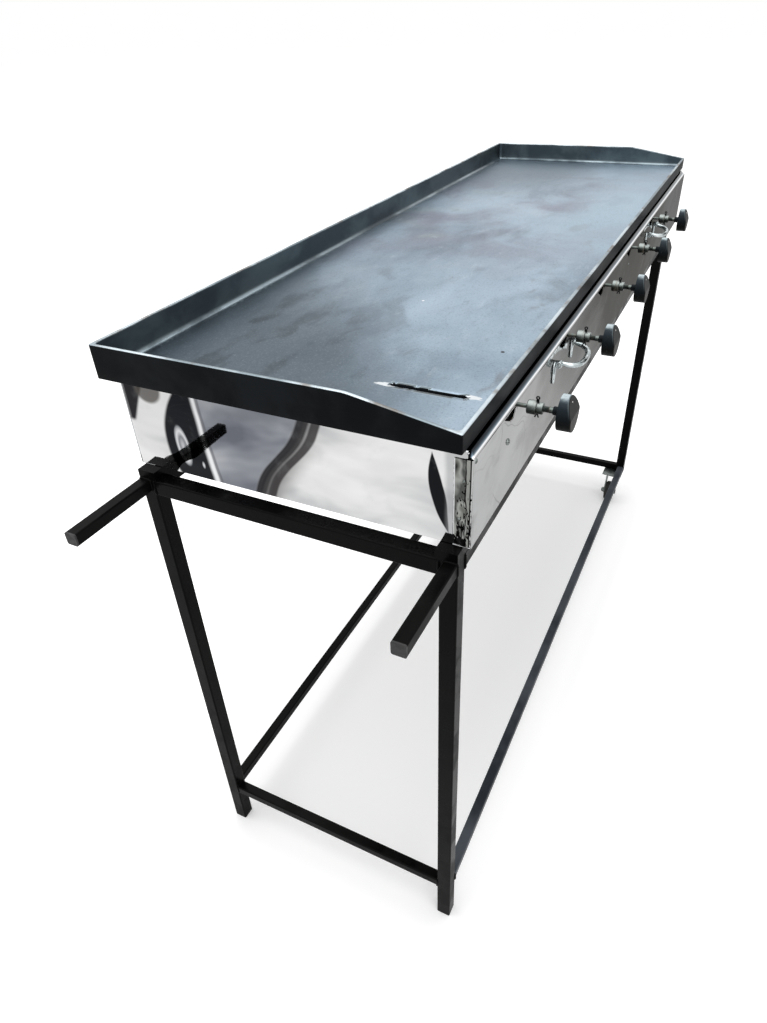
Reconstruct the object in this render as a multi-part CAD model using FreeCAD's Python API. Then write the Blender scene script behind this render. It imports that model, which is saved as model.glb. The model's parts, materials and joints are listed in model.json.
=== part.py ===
import FreeCAD, Part
import math
import os

# Outdoor gas griddle station. A steel griddle pan lies on a burner box of polished
# sheet, and the box lies on a stand of square tube with two push handles at its near
# end and two swivel casters at its far end. Five gas valves feed five burners, and
# two bail handles hang on the front of the box.
#
# Lengths are in millimetres. X runs from the near end to the far end, Y from the
# front, where the knobs are, to the back, and Z up from the floor. Places are counted
# from the outer corner of the near front leg on the floor. When a piece is saved it
# is moved, so that the origin lies on the floor under the middle of the overall
# length and the overall width.

# Stand of square tube
STAND_LENGTH = 1566.0
STAND_WIDTH = 495.0
RAIL_TOP = 864.0
TUBE = 25.0
TUBE_WALL = 1.5
TUBE_CORNER = 2.5
STRETCHER_TUBE = 19.0
HANDLE_TUBE = 19.0
HANDLE_REACH = 144.0
PLUG_DEPTH = 14.0
PLUG_LIP = 2.5
PLUG_FIT = 0.1
SEAT_LENGTH = 40.0
SEAT_WIDTH = 30.0
SEAT_HEIGHT = 14.0

# Swivel casters under the two far legs
CASTER_HEIGHT = 93.0
CASTER_PLATE = 60.0
CASTER_PLATE_THICK = 3.0
RACE_HEIGHT = 3.7
RACE_OUTER = 18.0
RACE_INNER = 12.0
KINGPIN_RADIUS = 5.0
KINGPIN_HEAD = 9.0
SHAFT_CLEARANCE = 0.05
SIDE_CLEARANCE = 0.3
FORK_DISC_RADIUS = 22.0
FORK_THICK = 3.0
CHEEK_FRONT_INSET = 5.0
CHEEK_BACK_OVERHANG = 4.0
CHEEK_END_RADIUS = 11.0
KINGPIN_HEAD_THICK = 2.5
CASTER_TRAIL = 30.0
WHEEL_RADIUS = 32.0
WHEEL_WIDTH = 24.0
TYRE_THICK = 8.0
TREAD_HALF = 6.0
SHOULDER_DROP = 1.2
SHOULDER_HALF = 9.5
TYRE_SIDE = 5.0
WEB_HALF = 3.5
RIM_THICK = 5.0
RIM_BEAD = 1.0
HUB_WIDTH = 26.0
HUB_RADIUS = 10.0
AXLE_RADIUS = 4.95
AXLE_HEAD = 14.0
AXLE_HEAD_THICK = 5.0
AXLE_NUT_THICK = 7.0
AXLE_TAIL = 2.0

# Burner box of polished sheet
BOX_SETBACK = 18.0
BOX_FAR_OVERHANG = 64.0
BOX_FRONT_OVERHANG = 10.0
BOX_BACK_OVERHANG = 7.0
PANEL_HEIGHT = 124.0
SHEET = 1.0
FOLD_RUN = 7.0
FOLD_RISE = 4.5
TOP_FLANGE = 14.0
TOP_FLANGE_GAP = 4.0
BOTTOM_FLANGE = 24.0
END_RETURN = 24.0
BEND_RADIUS = 2.0
PAN_SEAT_HEIGHT = 134.0

# Angle frame inside the box
ANGLE = 25.0
ANGLE_THICK = 3.0
LEDGE_HEIGHT = 82.0
SUPPORT_BAR_THICK = 5.0
FOLD_CLEARANCE = 16.0

# Griddle pan
PAN_NEAR_OVERHANG = 13.0
PAN_FAR_OVERHANG = 21.0
PAN_BACK_OVERHANG = 26.0
PAN_FRONT_STEP = 10.0
PAN_WALL = 5.0
PAN_FLOOR = 6.0
BACK_WALL_HEIGHT = 49.0
FRONT_LIP_HEIGHT = 25.0
SLOPE_LENGTH = 142.0
SLOPE_BREAK_RADIUS = 60.0
PAN_FILLET = 8.0
SLOT_FROM_NEAR = 119.0
SLOT_FRONT = 41.0
SLOT_LENGTH = 101.0
SLOT_WIDTH = 7.0
CHUTE_SHEET = 1.2
CHUTE_WIDTH = 24.0
CHUTE_MARGIN = 8.0
CHUTE_OUTLET = 44.0
CHUTE_TAPER = 2.0
CHUTE_DROP = 122.0

# Burners, valves and gas pipe
BURNER_COUNT = 5
BURNER_PITCH = 243.0
FIRST_BURNER = 150.0
VALVE_HEIGHT = 120.0
PIPE_RADIUS = 10.65
PIPE_BORE = 8.0
PIPE_NEAR = 42.0
PIPE_SETBACK = 16.0
NIPPLE_RADIUS = 8.5
INLET_RADIUS = 7.94
INLET_LENGTH = 17.0
INLET_WALL = 3.0
INLET_NUT = 20.0
INLET_NUT_LENGTH = 12.0
HOLE_CLEARANCE = 0.5
BURNER_RADIUS = 11.0
BURNER_WALL = 1.5
BURNER_AXIS_HEIGHT = 64.0
BURNER_BEND = 40.0
MOUTH_RADIUS = 13.0
MOUTH_LENGTH = 16.0
MOUTH_SETBACK = 42.0
FLAME_SLOT_WIDTH = 4.0
FLAME_SLOT_PITCH = 44.0
FLAME_SLOT_SPAN = 18.0
FLAME_SLOT_FLOOR = 7.5
BURNER_CAP = 26.0
BURNER_CAP_THICK = 2.0
JET_RADIUS = 5.0
JET_REACH = 6.0
VALVE_BODY_RADIUS = 7.0
VALVE_BODY_LENGTH = 26.0
VALVE_NOSE_RADIUS = 4.0
VALVE_NOSE_LENGTH = 6.0
VALVE_TAIL_RADIUS = 6.0
VALVE_STEM_DEPTH = 15.0

# Valve window in the front panel, as offsets along X and down from the fold
WINDOW_LEFT = 51.0
WINDOW_LOW_LEFT = 26.0
WINDOW_LOW_RIGHT = 14.0
WINDOW_RIGHT = 2.0
WINDOW_DEPTH = 15.0
STEM_HOLE_RADIUS = 4.0

# Knobs and their shafts, in order from the valve outwards
STEM_RADIUS = 2.75
STEM_BARE = 13.0
COUPLER_RADIUS = 9.0
COUPLER_LENGTH = 20.0
SHAFT_RADIUS = 4.0
SHAFT_BARE = 17.0
PIN_RADIUS = 1.5
KNOB_HUB_RADIUS = 5.5
KNOB_HUB_LENGTH = 3.5
KNOB_RADIUS = 22.5
KNOB_DEPTH = 18.5
KNOB_TOP_DEPTH = 11.0
KNOB_CHAMFER = 1.2
KNOB_BORE_DEPTH = 12.0
KNOB_GRIP = 10.0
PIN_ABOVE = 7.0
PIN_BELOW = 5.0
COUPLER_STEP = 1.5
COUPLER_WIDE = 12.0

# Bail handles on the front panel
BAIL_SPAN = 86.0
BAIL_OFFSET = -23.0
BAIL_REACH = 28.0
BAIL_SHOULDER = 26.0
BAIL_BEND = 15.0
BAIL_END_RADIUS = 2.7
BAIL_MID_RADIUS = 3.9
BAIL_EYE_RADIUS = 3.6
BAIL_GRIP = 10.0
BAIL_TAPER = 10.0
BAIL_PIN_RADIUS = 2.5
BAIL_TILT = 10.0
BAIL_PIVOT_HEIGHT = 102.0
BAIL_STANDOFF = 7.0
BRACKET_WIDTH = 16.0
BRACKET_HEIGHT = 42.0
BRACKET_SHEET = 1.5
KNUCKLE_LENGTH = 7.0
KNUCKLE_RADIUS = 5.0

# Places that follow from the sizes above
BOX_BOTTOM = RAIL_TOP + SEAT_HEIGHT
BOX_NEAR = BOX_SETBACK
BOX_FAR = STAND_LENGTH + BOX_FAR_OVERHANG
BOX_FRONT = -BOX_FRONT_OVERHANG
BOX_BACK = STAND_WIDTH + BOX_BACK_OVERHANG
PANEL_TOP = BOX_BOTTOM + PANEL_HEIGHT
PAN_SEAT = BOX_BOTTOM + PAN_SEAT_HEIGHT
LEDGE_TOP = BOX_BOTTOM + LEDGE_HEIGHT
FOLD_TOP = PANEL_TOP + FOLD_RISE
FOLD_BACK = BOX_FRONT + FOLD_RUN
TOP_FLANGE_BACK = FOLD_BACK + TOP_FLANGE
PAN_NEAR = BOX_NEAR - PAN_NEAR_OVERHANG
PAN_FAR = BOX_FAR + PAN_FAR_OVERHANG
PAN_FRONT = BOX_FRONT + PAN_FRONT_STEP
PAN_BACK = BOX_BACK + PAN_BACK_OVERHANG
VALVE_Z = BOX_BOTTOM + VALVE_HEIGHT
PIPE_Y = BOX_FRONT + PIPE_SETBACK
PIPE_Z = LEDGE_TOP + PIPE_RADIUS
BAIL_PIVOT_Y = BOX_FRONT - BAIL_STANDOFF
BAIL_PIVOT_Z = BOX_BOTTOM + BAIL_PIVOT_HEIGHT
COUPLER_Y = BOX_FRONT - STEM_BARE
SHAFT_Y = COUPLER_Y - COUPLER_LENGTH
KNOB_HUB_Y = SHAFT_Y - SHAFT_BARE
KNOB_Y = KNOB_HUB_Y - KNOB_HUB_LENGTH
KNOB_FRONT = KNOB_Y - KNOB_DEPTH
ORIGIN_X = (PAN_FAR - HANDLE_REACH) / 2
ORIGIN_Y = (PAN_BACK + KNOB_FRONT) / 2

X_AXIS = FreeCAD.Vector(1, 0, 0)
Y_AXIS = FreeCAD.Vector(0, 1, 0)
Z_AXIS = FreeCAD.Vector(0, 0, 1)


def point(x, y, z):
    return FreeCAD.Vector(x, y, z)


def block(x_from, x_to, y_from, y_to, z_from, z_to):
    """A box between two corners."""
    size = (x_to - x_from, y_to - y_from, z_to - z_from)
    return Part.makeBox(*size, point(x_from, y_from, z_from))


def rod(radius, start, direction, length):
    return Part.makeCylinder(radius, length, start, direction)


def prism(corners, direction):
    """A straight-sided body that carries a closed outline along a direction."""
    outline = Part.makePolygon(list(corners) + [corners[0]])
    return Part.Face(outline).extrude(direction)


def fused(first, *others):
    return first.fuse(list(others)).removeSplitter()


def rounded_square(size, radius):
    """Closed outline of a square with round corners, centred on the Z axis."""
    half = size / 2
    inner = half - radius
    diagonal = inner + radius * math.sqrt(0.5)
    edges = []
    for quarter in range(4):
        turn = FreeCAD.Rotation(Z_AXIS, 90 * quarter)
        side = [turn.multVec(point(half, y, 0)) for y in (-inner, inner)]
        corner = [turn.multVec(point(*xy, 0)) for xy in ((diagonal, diagonal), (inner, half))]
        edges.append(Part.LineSegment(*side).toShape())
        edges.append(Part.Arc(side[1], corner[0], corner[1]).toShape())
    return Part.Wire(edges)


def square_tube(size, start, direction, length):
    """A square tube whose corner at the lowest coordinates is the start point."""
    outer = Part.Face(rounded_square(size, TUBE_CORNER))
    inner = Part.Face(rounded_square(size - 2 * TUBE_WALL, TUBE_CORNER - TUBE_WALL))
    tube = outer.cut(inner).extrude(Z_AXIS * length)
    tube.Placement = FreeCAD.Placement(point(0, 0, 0), FreeCAD.Rotation(Z_AXIS, direction))
    low = tube.BoundBox
    tube.translate(start - point(low.XMin, low.YMin, low.ZMin))
    return tube


def bends(corners, radius):
    """Start, middle, end and centre of the arc that turns each inner corner."""
    arcs = []
    for before, corner, after in zip(corners, corners[1:], corners[2:]):
        back = (before - corner).normalize()
        ahead = (after - corner).normalize()
        half_turn = (math.pi - back.getAngle(ahead)) / 2
        inward = (back + ahead).normalize()
        reach = radius * math.tan(half_turn)
        depth = radius / math.cos(half_turn)
        centre = corner + inward * depth
        arcs.append((corner + back * reach, centre - inward * radius, corner + ahead * reach, centre))
    return arcs


def route(corners, radius):
    """An open path through the corners, each turned by an arc of one radius."""
    edges = []
    last = corners[0]
    for start, middle, end, _ in bends(corners, radius):
        edges.append(Part.LineSegment(last, start).toShape())
        edges.append(Part.Arc(start, middle, end).toShape())
        last = end
    edges.append(Part.LineSegment(last, corners[-1]).toShape())
    return Part.Wire(edges)


def bent_rod(corners, bend_radius, radius):
    """A round rod through the corners: straight runs joined by true round bends."""
    pieces = []
    last = corners[0]
    for start, _, end, centre in bends(corners, bend_radius):
        run = start - last
        pieces.append(rod(radius, last, run, run.Length))
        spoke = start - centre
        turn = math.degrees(spoke.getAngle(end - centre))
        section = Part.Face(Part.Wire(Part.makeCircle(radius, start, run)))
        pieces.append(section.revolve(centre, spoke.cross(run), turn))
        last = end
    run = corners[-1] - last
    pieces.append(rod(radius, last, run, run.Length))
    return fused(*pieces)


def bent_sheet(corners, thickness, radius, direction):
    """A sheet bent along a path: the path is its outer face, the sheet lies inside."""
    strip = route(corners, radius).makeOffset2D(thickness, 0, True, True)
    return strip.extrude(direction)


# Stand

def leg(x, y, z_from):
    return square_tube(TUBE, point(x, y, z_from), Z_AXIS, RAIL_TOP - z_from)


def near_leg(y):
    return leg(0, y, PLUG_LIP)


def far_leg(y):
    return leg(STAND_LENGTH - TUBE, y, CASTER_HEIGHT)


def cross_tube(size, x, z):
    """A tube across the stand, between a front leg and a back leg."""
    return square_tube(size, point(x, TUBE, z), Y_AXIS, STAND_WIDTH - 2 * TUBE)


def long_tube(size, y, z):
    """A tube along the stand, between a near leg and a far leg."""
    return square_tube(size, point(TUBE, y, z), X_AXIS, STAND_LENGTH - 2 * TUBE)


def push_handle(y):
    start = point(PLUG_LIP - HANDLE_REACH, y, RAIL_TOP - HANDLE_TUBE)
    return square_tube(HANDLE_TUBE, start, X_AXIS, HANDLE_REACH - PLUG_LIP)


def tube_plug(size, lip_centre, inward):
    """A moulded plug: a lip on the tube's end and a body inside the tube."""
    turn = FreeCAD.Rotation(Z_AXIS, inward)
    lip = Part.Face(rounded_square(size, TUBE_CORNER)).extrude(Z_AXIS * PLUG_LIP)
    bore = size - 2 * TUBE_WALL - 2 * PLUG_FIT
    body = Part.Face(rounded_square(bore, TUBE_CORNER - TUBE_WALL)).extrude(Z_AXIS * (PLUG_LIP + PLUG_DEPTH))
    plug = fused(lip, body)
    plug.Placement = FreeCAD.Placement(lip_centre, turn)
    return plug


def foot_plugs():
    half = TUBE / 2
    return [tube_plug(TUBE, point(half, y, 0), Z_AXIS) for y in (half, STAND_WIDTH - half)]


def handle_plugs():
    half = HANDLE_TUBE / 2
    z = RAIL_TOP - half
    return [tube_plug(HANDLE_TUBE, point(-HANDLE_REACH, y, z), X_AXIS) for y in (half, STAND_WIDTH - half)]


def box_seats():
    """Four blocks on the corners of the stand that carry the burner box."""
    seats = []
    for x in (0, STAND_LENGTH - SEAT_LENGTH):
        for y in (0, STAND_WIDTH - SEAT_WIDTH):
            seats.append(block(x, x + SEAT_LENGTH, y, y + SEAT_WIDTH, RAIL_TOP, BOX_BOTTOM))
    return seats


# Casters

def caster_centres():
    """Swivel axes, set in from the outer corner of each far leg by half a plate."""
    inset = CASTER_PLATE / 2
    x = STAND_LENGTH - inset
    return [point(x, inset, 0), point(x, STAND_WIDTH - inset, 0)]


FORK_TOP = CASTER_HEIGHT - CASTER_PLATE_THICK - RACE_HEIGHT - SIDE_CLEARANCE
FORK_UNDER = FORK_TOP - FORK_THICK


def caster_plate(centre):
    """Fixed plate with its pressed race ring and the kingpin that holds the fork."""
    half = CASTER_PLATE / 2
    bottom = CASTER_HEIGHT - CASTER_PLATE_THICK
    plate = block(centre.x - half, centre.x + half, centre.y - half, centre.y + half, bottom, CASTER_HEIGHT)
    race = rod(RACE_OUTER, centre + Z_AXIS * (FORK_TOP + SIDE_CLEARANCE), Z_AXIS, RACE_HEIGHT)
    race = race.cut(rod(RACE_INNER, centre, Z_AXIS, CASTER_HEIGHT))
    head_top = FORK_UNDER - SIDE_CLEARANCE
    pin = rod(KINGPIN_RADIUS, centre + Z_AXIS * head_top, Z_AXIS, bottom - head_top)
    head = rod(KINGPIN_HEAD, centre + Z_AXIS * (head_top - KINGPIN_HEAD_THICK), Z_AXIS, KINGPIN_HEAD_THICK)
    return fused(plate, race, pin, head)


def caster_plates():
    return [caster_plate(centre) for centre in caster_centres()]


def fork_cheek(centre, y):
    """One side of the fork, tapering from the disc down to a round end at the axle."""
    axle = point(centre.x - CASTER_TRAIL, y, WHEEL_RADIUS)
    back = point(centre.x - FORK_DISC_RADIUS - CHEEK_BACK_OVERHANG, y, FORK_TOP)
    front = point(centre.x + FORK_DISC_RADIUS - CHEEK_FRONT_INSET, y, FORK_TOP)
    turns = [math.radians(angle) for angle in (-50, -120, -190)]
    low = [axle + point(math.cos(a), 0, math.sin(a)) * CHEEK_END_RADIUS for a in turns]
    edges = [
        Part.LineSegment(back, front).toShape(),
        Part.LineSegment(front, low[0]).toShape(),
        Part.Arc(*low).toShape(),
        Part.LineSegment(low[2], back).toShape(),
    ]
    return Part.Face(Part.Wire(edges)).extrude(Y_AXIS * FORK_THICK)


def caster_fork(centre):
    disc = rod(FORK_DISC_RADIUS, centre + Z_AXIS * FORK_UNDER, Z_AXIS, FORK_THICK)
    half = HUB_WIDTH / 2 + SIDE_CLEARANCE
    cheeks = [fork_cheek(centre, centre.y + y) for y in (half, -half - FORK_THICK)]
    fork = fused(disc, *cheeks)
    kingpin_hole = rod(KINGPIN_RADIUS + SHAFT_CLEARANCE, centre, Z_AXIS, CASTER_HEIGHT)
    axle_start = point(centre.x - CASTER_TRAIL, centre.y - CASTER_PLATE, WHEEL_RADIUS)
    axle_hole = rod(AXLE_RADIUS + SHAFT_CLEARANCE, axle_start, Y_AXIS, 2 * CASTER_PLATE)
    return fork.cut(kingpin_hole).cut(axle_hole)


def hexagon(across, start, direction, length):
    """A hexagonal nut or bolt head, start at the middle of its first face."""
    radius = across / math.sqrt(3)
    corners = [point(radius * math.cos(k * math.pi / 3), radius * math.sin(k * math.pi / 3), 0) for k in range(6)]
    nut = prism(corners, Z_AXIS * length)
    nut.Placement = FreeCAD.Placement(start, FreeCAD.Rotation(Z_AXIS, direction))
    return nut


def caster_axle(centre):
    """Bolt through both cheeks and the hub, with its head in front and its nut behind."""
    half = HUB_WIDTH / 2 + SIDE_CLEARANCE + FORK_THICK
    middle = point(centre.x - CASTER_TRAIL, centre.y, WHEEL_RADIUS)
    head = hexagon(AXLE_HEAD, middle - Y_AXIS * (half + AXLE_HEAD_THICK), Y_AXIS, AXLE_HEAD_THICK)
    nut = hexagon(AXLE_HEAD, middle + Y_AXIS * half, Y_AXIS, AXLE_NUT_THICK)
    shank = rod(AXLE_RADIUS, middle - Y_AXIS * half, Y_AXIS, 2 * half + AXLE_NUT_THICK + AXLE_TAIL)
    return fused(head, shank, nut)


def turned(outline, centre):
    """Turn an outline of (radius, y) points about an axis along Y at the centre."""
    corners = [centre + point(0, y, radius) for radius, y in outline]
    wire = Part.makePolygon(corners + [corners[0]])
    return Part.Face(wire).revolve(centre, Y_AXIS, 360)


def caster_wheel(centre):
    """Moulded wheel: a hub, a thin web and a rim under the tyre."""
    rim = WHEEL_RADIUS - TYRE_THICK
    half_rim = WHEEL_WIDTH / 2 - RIM_BEAD
    half_hub = HUB_WIDTH / 2
    bore = AXLE_RADIUS + SHAFT_CLEARANCE
    half = [
        (bore, half_hub), (HUB_RADIUS, half_hub), (HUB_RADIUS, WEB_HALF),
        (rim - RIM_THICK, WEB_HALF), (rim - RIM_THICK + RIM_BEAD, half_rim), (rim, half_rim),
    ]
    mirrored = [(radius, -y) for radius, y in reversed(half)]
    middle = point(centre.x - CASTER_TRAIL, centre.y, WHEEL_RADIUS)
    return turned(half + mirrored, middle)


def caster_tyre(centre):
    """Rubber tyre with a nearly flat tread and chamfered shoulders."""
    rim = WHEEL_RADIUS - TYRE_THICK
    half = WHEEL_WIDTH / 2
    side = [
        (rim, half), (WHEEL_RADIUS - TYRE_SIDE, half),
        (WHEEL_RADIUS - SHOULDER_DROP, SHOULDER_HALF), (WHEEL_RADIUS, TREAD_HALF),
    ]
    mirrored = [(radius, -y) for radius, y in reversed(side)]
    middle = point(centre.x - CASTER_TRAIL, centre.y, WHEEL_RADIUS)
    return turned(side + mirrored, middle)


# Burner box panels

def valve_places():
    """Middle of each valve on the outer face of the front panel."""
    return [point(BOX_NEAR + FIRST_BURNER + BURNER_PITCH * k, BOX_FRONT, VALVE_Z) for k in range(BURNER_COUNT)]


def valve_window(place):
    """Opening under the fold beside each valve, with a slanting left side."""
    top = PANEL_TOP - BEND_RADIUS
    low = PANEL_TOP - WINDOW_DEPTH
    y = BOX_FRONT - 2 * SHEET
    corners = [
        point(place.x - WINDOW_LEFT, y, top), point(place.x - WINDOW_LOW_LEFT, y, low),
        point(place.x - WINDOW_LOW_RIGHT, y, low), point(place.x - WINDOW_RIGHT, y, top),
    ]
    window = prism(corners, Y_AXIS * 4 * SHEET)
    hole = rod(STEM_HOLE_RADIUS, point(place.x, y, VALVE_Z), Y_AXIS, 4 * SHEET)
    return fused(window, hole)


def front_panel():
    """Front sheet with its lower flange, end returns and the bright fold along its top.

    Behind the fold the sheet goes on level under the griddle pan, between the end sheets.
    """
    near = BOX_NEAR - SHEET
    far = BOX_FAR + SHEET
    path = [
        point(near, BOX_FRONT + BOTTOM_FLANGE, BOX_BOTTOM), point(near, BOX_FRONT, BOX_BOTTOM),
        point(near, BOX_FRONT, PANEL_TOP), point(near, FOLD_BACK, FOLD_TOP),
        point(near, TOP_FLANGE_BACK, FOLD_TOP),
    ]
    panel = bent_sheet(path, SHEET, BEND_RADIUS, X_AXIS * (far - near))
    top = PANEL_TOP - BEND_RADIUS
    low = BOX_BOTTOM + BEND_RADIUS
    returns = [block(x, x + SHEET, BOX_FRONT + SHEET / 2, BOX_FRONT + END_RETURN, low, top) for x in (near, BOX_FAR)]
    panel = fused(panel, *returns)
    reach = SHEET + TOP_FLANGE_GAP
    corners = [
        block(x, x + reach, FOLD_BACK + SHEET / 2, TOP_FLANGE_BACK + SHEET, PANEL_TOP, PAN_SEAT)
        for x in (near, far - reach)
    ]
    return panel.cut([valve_window(place) for place in valve_places()] + corners + [inlet_hole()])


def back_panel():
    """Back sheet with a flange along its bottom."""
    path = [
        point(BOX_NEAR, BOX_BACK, PAN_SEAT - SHEET), point(BOX_NEAR, BOX_BACK, BOX_BOTTOM),
        point(BOX_NEAR, BOX_BACK - BOTTOM_FLANGE, BOX_BOTTOM),
    ]
    return bent_sheet(path, SHEET, BEND_RADIUS, X_AXIS * (BOX_FAR - BOX_NEAR))


def end_panel(x_outer, inward):
    """End sheet with its lower flange, between the front and back panels."""
    low = BOX_BOTTOM + SHEET
    outline = [
        (0, PAN_SEAT - SHEET), (0, low), (BOTTOM_FLANGE, low), (BOTTOM_FLANGE, low + SHEET),
        (SHEET, low + SHEET), (SHEET, PAN_SEAT - SHEET),
    ]
    y_from = FOLD_BACK + SHEET
    length = BOX_BACK - BEND_RADIUS - y_from
    return prism([point(x_outer + inward * dx, y_from, z) for dx, z in outline], Y_AXIS * length)


def inlet_hole():
    start = point(BOX_FAR - ANGLE, PIPE_Y, PIPE_Z)
    return rod(NIPPLE_RADIUS + HOLE_CLEARANCE, start, X_AXIS, 2 * ANGLE)


def inlet_notch():
    """The inlet's way past the corner post, open to the post's edge."""
    radius = NIPPLE_RADIUS + HOLE_CLEARANCE
    opening = block(BOX_FAR - ANGLE, BOX_FAR, PIPE_Y, PIPE_Y + ANGLE, PIPE_Z - radius, PIPE_Z + radius)
    return fused(inlet_hole(), opening)


def end_panel_far():
    return end_panel(BOX_FAR, -1).cut(inlet_hole())


# Angle frame in the box

INNER_NEAR = BOX_NEAR + SHEET
INNER_FAR = BOX_FAR - SHEET
INNER_FRONT = BOX_FRONT + SHEET
INNER_BACK = BOX_BACK - SHEET
POST_TOP = PAN_SEAT - FOLD_CLEARANCE


def corner_post(x, y, along_x, along_y):
    """An upright angle in one corner; the signs say which way its legs point."""
    z_from = BOX_BOTTOM + 2 * SHEET
    corners = [
        (0, 0), (ANGLE * along_x, 0), (ANGLE * along_x, ANGLE_THICK * along_y),
        (ANGLE_THICK * along_x, ANGLE_THICK * along_y), (ANGLE_THICK * along_x, ANGLE * along_y),
        (0, ANGLE * along_y),
    ]
    return prism([point(x + dx, y + dy, z_from) for dx, dy in corners], Z_AXIS * (POST_TOP - z_from))


def corner_posts():
    posts = []
    for x, along_x in ((INNER_NEAR, 1), (INNER_FAR, -1)):
        for y, along_y in ((INNER_FRONT, 1), (INNER_BACK, -1)):
            post = corner_post(x, y, along_x, along_y)
            posts.append(post.cut(inlet_notch()))
    return posts


def long_angle(y, inward):
    """Angle along the box: its ledge carries the gas pipe, its edge the support bars."""
    low = LEDGE_TOP - ANGLE_THICK
    corners = [
        (0, low), (inward * ANGLE, low), (inward * ANGLE, LEDGE_TOP), (inward * ANGLE_THICK, LEDGE_TOP),
        (inward * ANGLE_THICK, low + ANGLE), (0, low + ANGLE),
    ]
    start = INNER_NEAR + ANGLE
    return prism([point(start, y + dy, z) for dy, z in corners], X_AXIS * (INNER_FAR - ANGLE - start))


def end_angle(x, inward):
    """Angle across the box end, flat side up under the griddle pan."""
    low = PAN_SEAT - ANGLE
    under = PAN_SEAT - ANGLE_THICK
    corners = [
        (0, low), (inward * ANGLE_THICK, low), (inward * ANGLE_THICK, under),
        (inward * ANGLE, under), (inward * ANGLE, PAN_SEAT), (0, PAN_SEAT),
    ]
    start = INNER_FRONT + ANGLE
    return prism([point(x + dx, start, z) for dx, z in corners], Y_AXIS * (INNER_BACK - ANGLE - start))


def end_angles():
    return [end_angle(INNER_NEAR, 1), end_angle(INNER_FAR, -1)]


def support_bars():
    """Flat bars on edge between the burners, stepped down at the front sheet's flange."""
    low = LEDGE_TOP - ANGLE_THICK + ANGLE
    cut = FOLD_CLEARANCE
    step_y = TOP_FLANGE_BACK + TOP_FLANGE_GAP
    step_z = PANEL_TOP - TOP_FLANGE_GAP
    outline = [
        (INNER_FRONT, low), (INNER_BACK, low), (INNER_BACK, PAN_SEAT - cut), (INNER_BACK - cut, PAN_SEAT),
        (step_y, PAN_SEAT), (step_y, step_z), (INNER_FRONT, step_z),
    ]
    bars = []
    x = BOX_NEAR + FIRST_BURNER + BURNER_PITCH / 2
    while x < INNER_FAR - BURNER_PITCH / 2:
        corners = [point(x - SUPPORT_BAR_THICK / 2, y, z) for y, z in outline]
        bars.append(prism(corners, X_AXIS * SUPPORT_BAR_THICK))
        x += BURNER_PITCH
    return bars


# Gas pipe, valves and burners

def gas_pipe():
    """Closed pipe along the front ledge, with the valves standing on it."""
    start = point(BOX_NEAR + PIPE_NEAR, PIPE_Y, PIPE_Z)
    length = INNER_FAR - ANGLE - start.x
    pipe = rod(PIPE_RADIUS, start, X_AXIS, length)
    bore_start = start + X_AXIS * ANGLE_THICK
    return pipe.cut(rod(PIPE_BORE, bore_start, X_AXIS, length - 2 * ANGLE_THICK))


def gas_inlet():
    """Inlet fitting on the pipe's far end: a nut, a nipple through the panel, a stub."""
    start = point(INNER_FAR - ANGLE, PIPE_Y, PIPE_Z)
    shoulder = BOX_FAR + ANGLE_THICK - start.x
    nut = hexagon(INLET_NUT, start, X_AXIS, INLET_NUT_LENGTH)
    nipple = rod(NIPPLE_RADIUS, start, X_AXIS, shoulder)
    stub = rod(INLET_RADIUS, start, X_AXIS, shoulder + INLET_LENGTH)
    bore = rod(INLET_RADIUS - INLET_WALL, start + X_AXIS * INLET_WALL, X_AXIS, shoulder + INLET_LENGTH)
    return fused(nut, nipple, stub).cut(bore)


def gas_valve(place):
    """Plug valve: a tail on the pipe, a nose round the stem and a jet to the burner."""
    x = place.x
    front = BOX_FRONT + 2 * SHEET
    body_start = point(x, front + VALVE_NOSE_LENGTH, VALVE_Z)
    body_middle = body_start + Y_AXIS * (VALVE_BODY_LENGTH / 2)
    jet_end = BOX_FRONT + MOUTH_SETBACK + JET_REACH
    tail = rod(VALVE_TAIL_RADIUS, point(x, PIPE_Y, PIPE_Z), Z_AXIS, VALVE_Z - PIPE_Z)
    body = rod(VALVE_BODY_RADIUS, body_start, Y_AXIS, VALVE_BODY_LENGTH)
    nose = rod(VALVE_NOSE_RADIUS, point(x, front, VALVE_Z), Y_AXIS, 2 * VALVE_NOSE_LENGTH)
    jet = rod(JET_RADIUS, body_middle, Y_AXIS, jet_end - body_middle.y)
    valve = fused(body, nose, tail, jet)
    saddle = rod(PIPE_RADIUS, point(x - ANGLE, PIPE_Y, PIPE_Z), X_AXIS, 2 * ANGLE)
    hole_start = point(x, front - SHEET, VALVE_Z)
    stem_hole = rod(STEM_RADIUS + SHAFT_CLEARANCE, hole_start, Y_AXIS, VALVE_STEM_DEPTH + SHEET)
    return valve.cut(saddle).cut(stem_hole)


def gas_valves():
    return [gas_valve(place) for place in valve_places()]


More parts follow.
